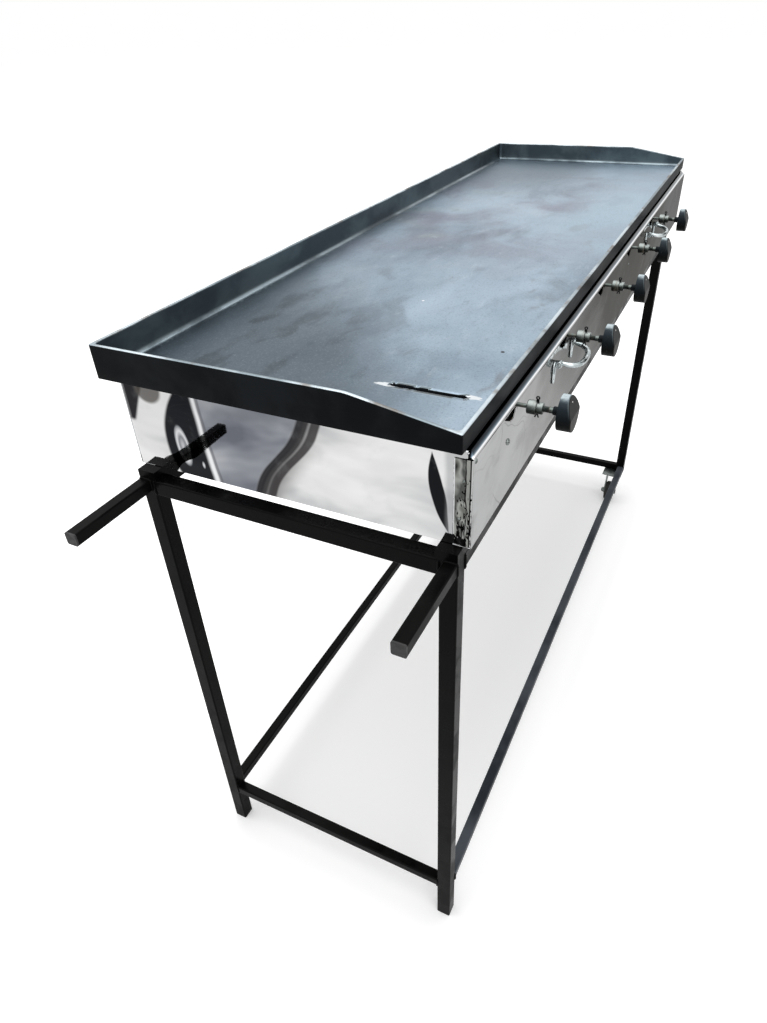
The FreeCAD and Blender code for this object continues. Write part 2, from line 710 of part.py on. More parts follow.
def burner(place):
    """Pipe burner: a flared air mouth at the valve's jet, a drop, then slots on top."""
    x = place.x
    mouth = point(x, BOX_FRONT + MOUTH_SETBACK, VALVE_Z)
    axis_z = BOX_BOTTOM + BURNER_AXIS_HEIGHT
    drop = VALVE_Z - axis_z
    straight = MOUTH_LENGTH + BURNER_BEND / 2
    end = point(x, INNER_BACK - BURNER_CAP_THICK, axis_z)
    corners = [
        mouth, mouth + Y_AXIS * straight,
        point(x, mouth.y + straight + drop, axis_z), end,
    ]
    outer = bent_rod(corners, BURNER_BEND, BURNER_RADIUS)
    inner = bent_rod(corners, BURNER_BEND, BURNER_RADIUS - BURNER_WALL)
    flare = Part.makeCone(MOUTH_RADIUS, BURNER_RADIUS, MOUTH_LENGTH, mouth, Y_AXIS)
    bore = BURNER_RADIUS - BURNER_WALL
    funnel = Part.makeCone(MOUTH_RADIUS - BURNER_WALL, bore, MOUTH_LENGTH, mouth, Y_AXIS)
    shutter = rod(MOUTH_RADIUS, mouth, Y_AXIS, BURNER_WALL)
    jet_hole = rod(JET_RADIUS + SHAFT_CLEARANCE, mouth - Y_AXIS, Y_AXIS, BURNER_WALL + 2)
    cap_half = BURNER_CAP / 2
    cap = block(x - cap_half, x + cap_half, end.y, INNER_BACK, axis_z - cap_half, axis_z + cap_half)
    tube = fused(outer, flare).cut(inner).cut(funnel)
    tube = fused(tube, shutter, cap).cut(jet_hole)
    first_slot = corners[2].y + BURNER_BEND
    half = FLAME_SLOT_SPAN / 2
    slot_z = (axis_z + FLAME_SLOT_FLOOR, axis_z + 2 * BURNER_RADIUS)
    slots = []
    y = first_slot
    while y < end.y - FLAME_SLOT_PITCH / 2:
        slots.append(block(x - half, x + half, y, y + FLAME_SLOT_WIDTH, *slot_z))
        y += FLAME_SLOT_PITCH
    return tube.cut(slots)


# Knobs and bail handles

def knob(place):
    """Round knob with a hub behind, and the upper half of its front bevelled back."""
    radius = KNOB_RADIUS
    inner = radius - KNOB_CHAMFER
    corners = [
        point(0, KNOB_FRONT, 0), point(0, KNOB_Y, 0), point(0, KNOB_Y, inner), point(0, KNOB_Y - KNOB_CHAMFER, radius),
        point(0, KNOB_FRONT + KNOB_CHAMFER, radius), point(0, KNOB_FRONT, inner),
    ]
    outline = Part.makePolygon(corners + [corners[0]])
    body = Part.Face(outline).revolve(point(0, 0, 0), Y_AXIS, 360)
    hub = rod(KNOB_HUB_RADIUS, point(0, KNOB_Y - KNOB_CHAMFER, 0), Y_AXIS, KNOB_HUB_LENGTH + KNOB_CHAMFER)
    bevel_top = point(-radius, KNOB_Y - KNOB_TOP_DEPTH, radius)
    bevel_low = point(-radius, KNOB_FRONT, 0)
    slope = bevel_top - bevel_low
    wedge = [bevel_low - slope, bevel_low + slope * 2, bevel_low + slope * 2 - Y_AXIS * 2 * radius]
    body = fused(body, hub).cut(prism(wedge, X_AXIS * 2 * radius))
    hole_start = point(0, KNOB_HUB_Y - KNOB_BORE_DEPTH, 0)
    hole = rod(SHAFT_RADIUS + SHAFT_CLEARANCE, hole_start, Y_AXIS, KNOB_BORE_DEPTH)
    body = body.cut(hole)
    body.translate(point(place.x, 0, VALVE_Z))
    return body


def knob_shaft(place):
    """Valve stem, pinned coupler and shaft that turn with the knob."""
    x = place.x

    def turned_part(radius, y_from, y_to):
        return rod(radius, point(x, y_to, VALVE_Z), Y_AXIS, y_from - y_to)

    step_y = COUPLER_Y - COUPLER_WIDE
    stem = turned_part(STEM_RADIUS, BOX_FRONT + VALVE_STEM_DEPTH, COUPLER_Y)
    wide = turned_part(COUPLER_RADIUS, COUPLER_Y, step_y)
    narrow = turned_part(COUPLER_RADIUS - COUPLER_STEP, step_y, SHAFT_Y)
    shaft = turned_part(SHAFT_RADIUS, SHAFT_Y, KNOB_HUB_Y - KNOB_GRIP)
    pin_start = point(x, step_y, VALVE_Z - COUPLER_RADIUS - PIN_BELOW)
    pin = rod(PIN_RADIUS, pin_start, Z_AXIS, 2 * COUPLER_RADIUS + PIN_BELOW + PIN_ABOVE)
    return fused(stem, wide, narrow, shaft, pin)


BAIL_VALVES = (1, BURNER_COUNT - 1)


def bail_middle(place):
    return point(place.x + BAIL_OFFSET, BAIL_PIVOT_Y, BAIL_PIVOT_Z)


def bail_handle(place):
    """D-shaped bail, thick in the middle, on two end pins that sit in the brackets."""
    half = BAIL_SPAN / 2 - BAIL_END_RADIUS
    shoulder = BAIL_SHOULDER
    corners = [
        point(-half, 0, 0), point(-shoulder, -BAIL_REACH, 0), point(shoulder, -BAIL_REACH, 0), point(half, 0, 0),
    ]
    pieces = [bent_rod(corners, BAIL_BEND, BAIL_END_RADIUS)]
    grip_end = point(BAIL_GRIP / 2, -BAIL_REACH, 0)
    pieces.append(rod(BAIL_MID_RADIUS, grip_end - X_AXIS * BAIL_GRIP, X_AXIS, BAIL_GRIP))
    for side in (-1, 1):
        taper_start = point(side * BAIL_GRIP / 2, -BAIL_REACH, 0)
        pieces.append(Part.makeCone(BAIL_MID_RADIUS, BAIL_END_RADIUS, BAIL_TAPER, taper_start, X_AXIS * side))
        eye = point(side * half, 0, 0)
        pieces.append(rod(BAIL_EYE_RADIUS, eye - X_AXIS * BAIL_END_RADIUS, X_AXIS, 2 * BAIL_END_RADIUS))
        pieces.append(rod(BAIL_PIN_RADIUS, eye, X_AXIS * side, BAIL_END_RADIUS + KNUCKLE_LENGTH))
    bail = fused(*pieces)
    bail.rotate(point(0, 0, 0), X_AXIS, BAIL_TILT)
    bail.translate(bail_middle(place))
    return bail


def bail_bracket(x_inner, y, z, outward):
    """Plate on the panel with a knuckle that holds one end pin of the bail."""
    knuckle_x = sorted((x_inner, x_inner + outward * KNUCKLE_LENGTH))
    plate_x = sorted((x_inner, x_inner + outward * BRACKET_WIDTH))
    plate_top = z + KNUCKLE_RADIUS
    plate = block(plate_x[0], plate_x[1], BOX_FRONT - BRACKET_SHEET, BOX_FRONT, plate_top - BRACKET_HEIGHT, plate_top)
    knuckle = rod(KNUCKLE_RADIUS, point(knuckle_x[0], y, z), X_AXIS, KNUCKLE_LENGTH)
    arm = block(knuckle_x[0], knuckle_x[1], y, BOX_FRONT, z - KNUCKLE_RADIUS, plate_top)
    hole = rod(BAIL_PIN_RADIUS + SHAFT_CLEARANCE, point(knuckle_x[0] - 1, y, z), X_AXIS, KNUCKLE_LENGTH + 2)
    return fused(plate, knuckle, arm).cut(hole)


def bail_brackets():
    brackets = []
    for number in BAIL_VALVES:
        middle = bail_middle(valve_places()[number])
        for side in (-1, 1):
            x = middle.x + side * (BAIL_SPAN / 2 + SIDE_CLEARANCE)
            brackets.append(bail_bracket(x, middle.y, middle.z, side))
    return brackets


# Griddle

def griddle_pan():
    """Welded pan: high back wall, low front lip and end walls that slope to the lip."""
    rim = PAN_SEAT + BACK_WALL_HEIGHT
    lip = PAN_SEAT + FRONT_LIP_HEIGHT
    slope = route([
        point(PAN_NEAR, PAN_FRONT, lip), point(PAN_NEAR, PAN_FRONT + SLOPE_LENGTH, rim),
        point(PAN_NEAR, PAN_BACK, rim),
    ], SLOPE_BREAK_RADIUS)
    rest = Part.makePolygon([
        point(PAN_NEAR, PAN_BACK, rim), point(PAN_NEAR, PAN_BACK, PAN_SEAT),
        point(PAN_NEAR, PAN_FRONT, PAN_SEAT), point(PAN_NEAR, PAN_FRONT, lip),
    ])
    outline = Part.Wire(slope.Edges + rest.Edges)
    pan = Part.Face(outline).extrude(X_AXIS * (PAN_FAR - PAN_NEAR))
    top = rim + 2 * PAN_FILLET
    hollow = block(
        PAN_NEAR + PAN_WALL, PAN_FAR - PAN_WALL, PAN_FRONT + PAN_WALL, PAN_BACK - PAN_WALL,
        PAN_SEAT + PAN_FLOOR, top,
    )
    inner_edges = [edge for edge in hollow.Edges if edge.BoundBox.ZMin < top - 1]
    hollow = hollow.makeFillet(PAN_FILLET, inner_edges)
    return pan.cut(hollow).cut(grease_slot())


def slot_outline(length, width, z):
    """Closed outline of a slot along Y with round ends, over the grease slot's middle."""
    x = PAN_NEAR + SLOT_FROM_NEAR
    y = PAN_FRONT + SLOT_FRONT + SLOT_LENGTH / 2
    half = (length - width) / 2
    r = width / 2
    left = Part.LineSegment(point(x - r, y - half, z), point(x - r, y + half, z))
    back = Part.Arc(point(x - r, y + half, z), point(x, y + half + r, z), point(x + r, y + half, z))
    right = Part.LineSegment(point(x + r, y + half, z), point(x + r, y - half, z))
    front = Part.Arc(point(x + r, y - half, z), point(x, y - half - r, z), point(x - r, y - half, z))
    return Part.Wire([part.toShape() for part in (left, back, right, front)])


def grease_slot():
    outline = slot_outline(SLOT_LENGTH, SLOT_WIDTH, PAN_SEAT - 1)
    return Part.Face(outline).extrude(Z_AXIS * (PAN_FLOOR + 2))


def grease_chute():
    """Tapering sheet chute under the slot that leads the grease out below the box."""
    top = PAN_SEAT
    low = PAN_SEAT - CHUTE_DROP
    mouth = SLOT_LENGTH + 2 * CHUTE_MARGIN
    outer_top = slot_outline(mouth, CHUTE_WIDTH, top)
    outer_low = slot_outline(CHUTE_OUTLET, CHUTE_WIDTH - CHUTE_TAPER, low)
    outer = Part.makeLoft([outer_top, outer_low], True)
    wall = 2 * CHUTE_SHEET
    bore_top = slot_outline(mouth - wall, CHUTE_WIDTH - wall, top)
    bore_low = slot_outline(CHUTE_OUTLET - wall, CHUTE_WIDTH - CHUTE_TAPER - wall, low)
    return outer.cut(Part.makeLoft([bore_top, bore_low], True))


# Saving

def save(name, solids):
    """Write one node; the model is moved so that its origin is the overall middle."""
    shape = Part.makeCompound(solids) if isinstance(solids, list) else solids
    shape.translate(point(-ORIGIN_X, -ORIGIN_Y, 0))
    count = len(shape.Solids)
    print(f"{name:24s} solids {count} valid {shape.isValid()} volume {shape.Volume / 1000:.1f} cm3")
    shape.exportStep(f"parts/{name}.step")


def build():
    os.makedirs("parts", exist_ok=True)
    back_y = STAND_WIDTH - TUBE
    back_small = STAND_WIDTH - STRETCHER_TUBE
    rail_z = RAIL_TOP - TUBE
    far_x = STAND_LENGTH - TUBE
    far_small = STAND_LENGTH - STRETCHER_TUBE
    save("leg_near_front", near_leg(0))
    save("leg_near_back", near_leg(back_y))
    save("leg_far_front", far_leg(0))
    save("leg_far_back", far_leg(back_y))
    save("top_rail_near", cross_tube(TUBE, 0, rail_z))
    save("top_rail_far", cross_tube(TUBE, far_x, rail_z))
    save("top_rail_front", long_tube(TUBE, 0, rail_z))
    save("top_rail_back", long_tube(TUBE, back_y, rail_z))
    save("stretcher_near", cross_tube(STRETCHER_TUBE, 0, CASTER_HEIGHT))
    save("stretcher_far", cross_tube(STRETCHER_TUBE, far_small, CASTER_HEIGHT))
    save("stretcher_front", long_tube(STRETCHER_TUBE, 0, CASTER_HEIGHT))
    save("stretcher_back", long_tube(STRETCHER_TUBE, back_small, CASTER_HEIGHT))
    save("push_handle_front", push_handle(0))
    save("push_handle_back", push_handle(STAND_WIDTH - HANDLE_TUBE))
    save("foot_plugs", foot_plugs())
    save("handle_plugs", handle_plugs())
    save("box_seats", box_seats())
    save("caster_plates", caster_plates())
    for side, centre in zip(("front", "back"), caster_centres()):
        save(f"caster_fork_{side}", caster_fork(centre))
        save(f"caster_axle_{side}", caster_axle(centre))
        save(f"caster_wheel_{side}", caster_wheel(centre))
        save(f"caster_tyre_{side}", caster_tyre(centre))
    save("front_panel", front_panel())
    save("back_panel", back_panel())
    save("end_panel_near", end_panel(BOX_NEAR, 1))
    save("end_panel_far", end_panel_far())
    save("frame_angle_front", long_angle(INNER_FRONT, 1))
    save("frame_angle_back", long_angle(INNER_BACK, -1))
    save("frame_end_angles", end_angles())
    save("frame_corner_posts", corner_posts())
    save("pan_support_bars", support_bars())
    save("gas_pipe", gas_pipe())
    save("gas_inlet", gas_inlet())
    save("gas_valves", gas_valves())
    for number, place in enumerate(valve_places(), start=1):
        save(f"burner_{number}", burner(place))
        save(f"knob_{number}", knob(place))
        save(f"knob_shaft_{number}", knob_shaft(place))
    for number, valve in enumerate(BAIL_VALVES, start=1):
        save(f"bail_handle_{number}", bail_handle(valve_places()[valve]))
    save("bail_brackets", bail_brackets())
    save("griddle_pan", griddle_pan())
    save("grease_chute", grease_chute())


build()
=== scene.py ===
"""Looks of an outdoor gas griddle station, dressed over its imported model.

The polished sheets, the griddle pan, the knobs with their shafts and the bail handles
are new surfaces that stand for their nodes. Tubes, casters and gas parts keep their
nodes and get their finish here, with welds, screws and rivets added. Lengths are in
metres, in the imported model's frame: X to the far end, Y to the back, Z up.
"""

import json
import logging
import math
from collections.abc import Sequence
from dataclasses import dataclass, field
from enum import Enum

import bmesh
import bpy
import numpy as np
from mathutils import Matrix, Vector


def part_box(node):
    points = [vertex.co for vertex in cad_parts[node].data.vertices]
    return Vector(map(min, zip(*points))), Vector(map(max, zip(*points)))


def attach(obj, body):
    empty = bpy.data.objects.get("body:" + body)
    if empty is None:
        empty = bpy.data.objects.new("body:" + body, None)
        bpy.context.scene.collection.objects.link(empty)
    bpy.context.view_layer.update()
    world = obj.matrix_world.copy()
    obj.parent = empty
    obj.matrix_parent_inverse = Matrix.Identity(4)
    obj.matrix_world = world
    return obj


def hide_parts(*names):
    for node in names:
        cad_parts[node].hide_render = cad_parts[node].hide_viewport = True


Colour = tuple[float, float, float]
Point = tuple[float, float, float]

log = logging.getLogger("griddle_station")
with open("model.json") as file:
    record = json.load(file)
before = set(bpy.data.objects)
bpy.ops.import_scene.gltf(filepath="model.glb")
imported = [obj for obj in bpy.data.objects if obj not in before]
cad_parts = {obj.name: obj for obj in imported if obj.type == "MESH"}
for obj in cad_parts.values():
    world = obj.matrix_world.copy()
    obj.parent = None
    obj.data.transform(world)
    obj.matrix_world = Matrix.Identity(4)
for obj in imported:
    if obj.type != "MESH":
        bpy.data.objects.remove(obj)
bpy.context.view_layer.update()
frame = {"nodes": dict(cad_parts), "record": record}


# Shader writing


class Signal:
    """One node output that is used in plain arithmetic; each operation adds a Math node."""

    def __init__(self, shader: "Shader", socket: bpy.types.NodeSocket) -> None:
        """Keep the shader that owns the node and the output socket."""
        self.shader = shader
        self.socket = socket

    def _math(self, operation: str, *values: "Signal | float", clamp: bool = False) -> "Signal":
        """One Math node on these values."""
        settings = {"operation": operation, "use_clamp": clamp}
        return self.shader.node("ShaderNodeMath", settings, dict(enumerate(values)))

    def __add__(self, other: "Signal | float") -> "Signal":
        """Sum."""
        return self._math("ADD", self, other)

    def __radd__(self, other: float) -> "Signal":
        """Sum with a number on the left."""
        return self._math("ADD", other, self)

    def __sub__(self, other: "Signal | float") -> "Signal":
        """Difference."""
        return self._math("SUBTRACT", self, other)

    def __rsub__(self, other: float) -> "Signal":
        """A number less this signal."""
        return self._math("SUBTRACT", other, self)

    def __mul__(self, other: "Signal | float") -> "Signal":
        """Product."""
        return self._math("MULTIPLY", self, other)

    def __rmul__(self, other: float) -> "Signal":
        """Product with a number on the left."""
        return self._math("MULTIPLY", other, self)

    def __truediv__(self, other: "Signal | float") -> "Signal":
        """Quotient."""
        return self._math("DIVIDE", self, other)

    def __abs__(self) -> "Signal":
        """Size without sign."""
        return self._math("ABSOLUTE", self)

    def root(self) -> "Signal":
        """Square root."""
        return self._math("SQRT", self)

    def sine(self) -> "Signal":
        """Sine of an angle in radians."""
        return self._math("SINE", self)

    def most(self, other: "Signal | float") -> "Signal":
        """The larger of two values."""
        return self._math("MAXIMUM", self, other)

    def least(self, other: "Signal | float") -> "Signal":
        """The smaller of two values."""
        return self._math("MINIMUM", self, other)

    def step(self, start: float, end: float) -> "Signal":
        """Smooth rise from 0 at start to 1 at end; a fall where start is the larger.

        Args:
            start: Where the result is 0.
            end: Where it is 1.

        Returns:
            The share, from 0 to 1.
        """
        low, high = min(start, end), max(start, end)
        settings = {"interpolation_type": "SMOOTHSTEP"}
        rise = self.shader.node("ShaderNodeMapRange", settings, {0: self, 1: low, 2: high})
        return rise if start <= end else 1 - rise

    def band(self, half: float, soft: float) -> "Signal":
        """1 where the value lies within half of zero, falling to 0 over soft."""
        return abs(self).step(half + soft, half)


def distance(across: Signal, along: Signal) -> Signal:
    """Distance from a centre: the root of the sum of both squares."""
    return (across * across + along * along).root()


class Shader:
    """Builds one material on a Principled shader."""

    def __init__(self, name: str) -> None:
        """Start an empty node tree under that material name.

        Args:
            name: Name of the material.
        """
        self.material = bpy.data.materials.new(name)
        self.material.use_nodes = True
        self.tree = self.material.node_tree
        self.tree.nodes.clear()
        self.place = self.node("ShaderNodeTexCoord", {}, {}, "Object")
        axes = self.node("ShaderNodeSeparateXYZ", {}, {0: self.place}).socket.node.outputs
        self.x, self.y, self.z = (Signal(self, axis) for axis in axes)

    def node(
        self,
        kind: str,
        settings: dict[str, object],
        inputs: dict[int | str, object],
        output: int | str = 0,
    ) -> Signal | None:
        """Add one node.

        Args:
            kind: The node's type name.
            settings: Its properties, set first; "stops" fills a colour ramp.
            inputs: Values or signals by socket name or number.
            output: The socket that is handed back.

        Returns:
            The chosen output as a signal; None where the node has no output.
        """
        node = self.tree.nodes.new(kind)
        for key, value in settings.items():
            if key == "stops":
                self._fill_ramp(node.color_ramp, value)
            else:
                setattr(node, key, value)
        for key, value in inputs.items():
            if isinstance(value, Signal):
                self.tree.links.new(value.socket, node.inputs[key])
            elif isinstance(value, tuple) and len(value) == 3 and node.inputs[key].type == "RGBA":
                node.inputs[key].default_value = (*value, 1.0)
            else:
                node.inputs[key].default_value = value
        return Signal(self, node.outputs[output]) if len(node.outputs) else None

    @staticmethod
    def _fill_ramp(ramp: bpy.types.ColorRamp, stops: Sequence[tuple[float, Colour]]) -> None:
        """Give a ramp its stops, each a position and a colour.

        Args:
            ramp: The ramp.
            stops: Its stops in order.
        """
        while len(ramp.elements) < len(stops):
            ramp.elements.new(1.0)
        for element, (position, colour) in zip(ramp.elements, stops):
            element.position = position
            element.color = (*colour, 1.0)

    def warped(self, scale: Point, amount: float = 0.0, warp_scale: float = 6.0) -> Signal:
        """Object coordinates stretched by scale and pushed about by a slow noise.

        Args:
            scale: Stretch along each axis, for patterns that run in one direction.
            amount: Size of the push, in metres.
            warp_scale: Detail of the noise that pushes.

        Returns:
            A vector signal.
        """
        place = self.place
        if amount:
            push = self.node("ShaderNodeTexNoise", {}, {"Vector": place, "Scale": warp_scale}, "Color")
            centred = self.node(
                "ShaderNodeVectorMath", {"operation": "SUBTRACT"}, {0: push, 1: (0.5, 0.5, 0.5)}
            )
            pushed = {0: centred, 1: (amount, amount, amount), 2: place}
            place = self.node("ShaderNodeVectorMath", {"operation": "MULTIPLY_ADD"}, pushed)
        return self.node("ShaderNodeVectorMath", {"operation": "MULTIPLY"}, {0: place, 1: scale})

    def noise(
        self, scale: float, detail: float = 3.0, vector: Signal | None = None, rough: float = 0.55
    ) -> Signal:
        """Cloudy noise from 0 to 1 on Object coordinates, or on another vector."""
        inputs = {"Vector": vector or self.place, "Scale": scale, "Detail": detail, "Roughness": rough}
        return self.node("ShaderNodeTexNoise", {}, inputs)

    def cells(self, scale: float, vector: Signal | None = None, feature: str = "F1") -> Signal:
        """Distance pattern of scattered cells."""
        inputs = {"Vector": vector or self.place, "Scale": scale}
        return self.node("ShaderNodeTexVoronoi", {"feature": feature}, inputs, "Distance")

    def ramp(self, value: Signal, stops: Sequence[tuple[float, Colour]]) -> Signal:
        """Colour ramp on a value."""
        return self.node("ShaderNodeValToRGB", {"stops": stops}, {0: value})

    def mix(self, first: Signal | Colour, second: Signal | Colour, share: Signal | float) -> Signal:
        """Colour between two colours; share 0 gives the first."""
        settings = {"data_type": "RGBA", "clamp_factor": True}
        return self.node("ShaderNodeMix", settings, {0: share, 6: first, 7: second}, 2)

    def bump(self, height: Signal, depth: float, under: Signal | None = None) -> Signal:
        """Normal from a height pattern of 0 to 1 that is depth metres deep.

        Args:
            height: The pattern.
            depth: Its depth in metres.
            under: Normal of a coarser bump below it.

        Returns:
            The normal.
        """
        inputs = {"Height": height, "Distance": depth, "Strength": 1.0}
        if under is not None:
            inputs["Normal"] = under
        return self.node("ShaderNodeBump", {}, inputs)

    def scratches(self, scale: float, stretch: Point, width: float) -> Signal:
        """Thin lines, 1 on a line: the borders of cells stretched into slivers."""
        edge = self.cells(scale, self.warped(stretch, 0.02, 9.0), "DISTANCE_TO_EDGE")
        return edge.step(width, 0.0)

    def finish(
        self, base: Signal | Colour, rough: Signal | float, normal: Signal | None, **fixed: Signal | float
    ) -> bpy.types.Material:
        """Close the material.

        Args:
            base: Base colour.
            rough: Roughness.
            normal: Normal, if any.
            **fixed: Other sockets' values, by name with _ for a space.

        Returns:
            The finished material.
        """
        inputs = {key.replace("_", " "): value for key, value in fixed.items()}
        inputs |= {"Base Color": base, "Roughness": rough}
        if normal is not None:
            inputs["Normal"] = normal
        surface = self.node("ShaderNodeBsdfPrincipled", {}, inputs)
        self.node("ShaderNodeOutputMaterial", {}, {"Surface": surface})
        return self.material


# Finishes


@dataclass(frozen=True)
class PatchyFinish:
    """A finish whose colour and gloss drift in patches, with specks and a fine grain."""

    name: str
    dark: Colour
    light: Colour
    metallic: float
    smooth: float
    rough: float
    patch_scale: float = 9.0
    grain_scale: float = 900.0
    grain_depth: float = 0.00002
    speck: Colour = (0.3, 0.3, 0.3)
    speck_share: float = 0.1
    specular: float = 0.5

    def build(self) -> bpy.types.Material:
        """Patches mix the two colours, small cells drop specks, grain roughens the surface.

        Returns:
            The finished material.
        """
        s = Shader(self.name)
        patches = s.noise(self.patch_scale, 5.0, s.warped((1, 1, 1), 0.03))
        patch = patches.step(0.35, 0.66)
        base = s.mix(self.dark, self.light, patch)
        specks = (
            s.cells(self.patch_scale * 22).step(0.16, 0.06) * s.noise(self.patch_scale * 5).step(0.5, 0.62)
        )
        base = s.mix(base, self.speck, specks * self.speck_share)
        wear = s.noise(self.patch_scale * 4, 6.0).step(0.42, 0.6)
        rough = wear * (self.rough - self.smooth) + self.smooth
        grain = s.noise(self.grain_scale, 2.0) + s.noise(self.grain_scale / 12, 3.0) * 3.0
        normal = s.bump(grain, self.grain_depth)
        return s.finish(base, rough, normal, Metallic=self.metallic, Specular_IOR_Level=self.specular)


class Slot(Enum):
    """Material slots of the record."""

    PAINT = "stand_paint"
    SHEET = "polished_sheet"
    GRIDDLE = "griddle_steel"
    FRAME = "frame_steel"
    BURNER = "burner_steel"
    PIPE = "pipe_steel"
    VALVE = "valve_brass"
    FITTING = "zinc_fitting"
    KNOB = "knob_plastic"
    PLUG = "plug_plastic"
    WHEEL = "wheel_plastic"
    TYRE = "tyre_rubber"


PLAIN_FINISHES = {
    Slot.PAINT: PatchyFinish(
        "gloss_black_paint", dark=(0.0016, 0.0016, 0.0017), light=(0.0036, 0.0034, 0.0032), metallic=0.0,
        smooth=0.22, rough=0.40, patch_scale=5.0, grain_scale=420.0, grain_depth=0.00005,
        speck=(0.03, 0.027, 0.022), speck_share=0.15, specular=0.05,
    ),
    Slot.FRAME: PatchyFinish(
        "mill_scale_steel", dark=(0.05, 0.052, 0.056), light=(0.15, 0.145, 0.14), metallic=0.85,
        smooth=0.38, rough=0.62, patch_scale=14.0, grain_scale=700.0, grain_depth=0.00003,
        speck=(0.22, 0.09, 0.04), speck_share=0.5,
    ),
    Slot.BURNER: PatchyFinish(
        "heat_tinted_steel", dark=(0.10, 0.085, 0.09), light=(0.32, 0.27, 0.22), metallic=0.9, smooth=0.3,
        rough=0.55, patch_scale=11.0, grain_scale=600.0, grain_depth=0.00003, speck=(0.10, 0.12, 0.25),
        speck_share=0.5,
    ),
    Slot.PIPE: PatchyFinish(
        "gas_pipe_steel", dark=(0.03, 0.03, 0.032), light=(0.08, 0.08, 0.082), metallic=0.5, smooth=0.35,
        rough=0.6, patch_scale=16.0, grain_scale=500.0, grain_depth=0.00003,
    ),
    Slot.VALVE: PatchyFinish(
        "valve_brass", dark=(0.42, 0.28, 0.10), light=(0.68, 0.48, 0.20), metallic=1.0, smooth=0.22,
        rough=0.42, patch_scale=60.0, grain_scale=1500.0, grain_depth=0.000015, speck=(0.16, 0.10, 0.05),
        speck_share=0.4,
    ),
    Slot.FITTING: PatchyFinish(
        "zinc_fitting", dark=(0.10, 0.115, 0.112), light=(0.27, 0.30, 0.29), metallic=1.0, smooth=0.30,
        rough=0.50, patch_scale=40.0, grain_scale=1300.0, grain_depth=0.00002, speck=(0.04, 0.045, 0.045),
        speck_share=0.6,
    ),
    Slot.PLUG: PatchyFinish(
        "plug_black", dark=(0.010, 0.010, 0.010), light=(0.022, 0.022, 0.022), metallic=0.0, smooth=0.42,
        rough=0.6, patch_scale=50.0, grain_scale=1500.0, grain_depth=0.00003,
    ),
    Slot.WHEEL: PatchyFinish(
        "wheel_nylon", dark=(0.045, 0.045, 0.046), light=(0.085, 0.084, 0.082), metallic=0.0, smooth=0.4,
        rough=0.58, patch_scale=40.0, grain_scale=1400.0, grain_depth=0.00002,
    ),
    Slot.TYRE: PatchyFinish(
        "tyre_rubber", dark=(0.012, 0.012, 0.012), light=(0.035, 0.033, 0.031), metallic=0.0, smooth=0.6,
        rough=0.82, patch_scale=35.0, grain_scale=900.0, grain_depth=0.00005, speck=(0.16, 0.15, 0.13),
        speck_share=0.5, specular=0.3,
    ),
}


# The long front stretcher's paint is paler and bluer than the rest of the stand: a painted reflection along
# its faces.
PAINTED_SHEEN_PAINT = PatchyFinish(
    "painted_sheen_black_paint", dark=(0.026, 0.031, 0.038), light=(0.078, 0.088, 0.102), metallic=0.0, smooth=0.30,
    rough=0.46, patch_scale=6.0, grain_scale=420.0, grain_depth=0.00005, speck=(0.12, 0.13, 0.145),
    speck_share=0.15, specular=0.05,
)


@dataclass(frozen=True)
class KnobPlastic:
    """Moulded black plastic, with a pale blue painted highlight on top of its rim and painted shade below its
    axis.
    """

    name: str
    axis_height: float
    radius: float
    back: float
    depth: float
    fall: float

    def build(self) -> bpy.types.Material:
        """The rim's painted highlight grows with the height over the axis, with painted shade below it; the
        sloping front is dark grey, a little lighter low down as painted light.

        The front is where the depth behind the knob's back reaches the full depth less
        the slope's fall.

        Returns:
            The finished material.
        """
        s = Shader(self.name)
        up = s.z - self.axis_height
        drift = (
            (s.noise(70.0, 4.0) - 0.5) * 0.08
            + (s.noise(330.0, 3.0, s.warped((1.0, 0.35, 1.0))) - 0.5) * 0.06
        )
        # Painted light by height: near black painted shade below the axis, a pale blue painted highlight at
        # the top of the rim.
        stops = [
            (0.00, (0.0012, 0.0012, 0.0011)), (0.36, (0.0025, 0.0030, 0.0033)),
            (0.58, (0.0070, 0.0100, 0.0125)), (0.78, (0.012, 0.018, 0.023)),
            (0.91, (0.026, 0.037, 0.045)), (0.95, (0.08, 0.105, 0.12)), (0.995, (0.48, 0.56, 0.59)),
        ]
        rim = s.ramp(up / self.radius * 0.5 + 0.5 + drift, stops)
        front = (self.back - s.y) - (self.depth - up.most(0.0) * self.fall)
        face = s.mix(
            (0.014, 0.013, 0.011), (0.009, 0.010, 0.010), up.step(-0.3 * self.radius, 0.3 * self.radius)
        )
        base = s.mix(rim, face, front.step(-0.0016, -0.0006))
        # Painted highlight along the upper edge of the sloping front.
        edge = front.step(-0.0022, -0.0014) * front.step(-0.0002, -0.0010)
        base = s.mix(base, (0.12, 0.15, 0.165), edge * up.step(0.0, self.radius) * 0.8)
        scuff = s.noise(260.0, 4.0, s.warped((1, 1, 0.4), 0.003)).step(0.60, 0.72)
        base = s.mix(base, (0.08, 0.085, 0.09), scuff * 0.25)
        rough = 0.34 + scuff * 0.2 + s.noise(40.0) * 0.08
        return s.finish(base, rough, s.bump(s.noise(1500.0, 2.0), 0.00002), Specular_IOR_Level=0.07)


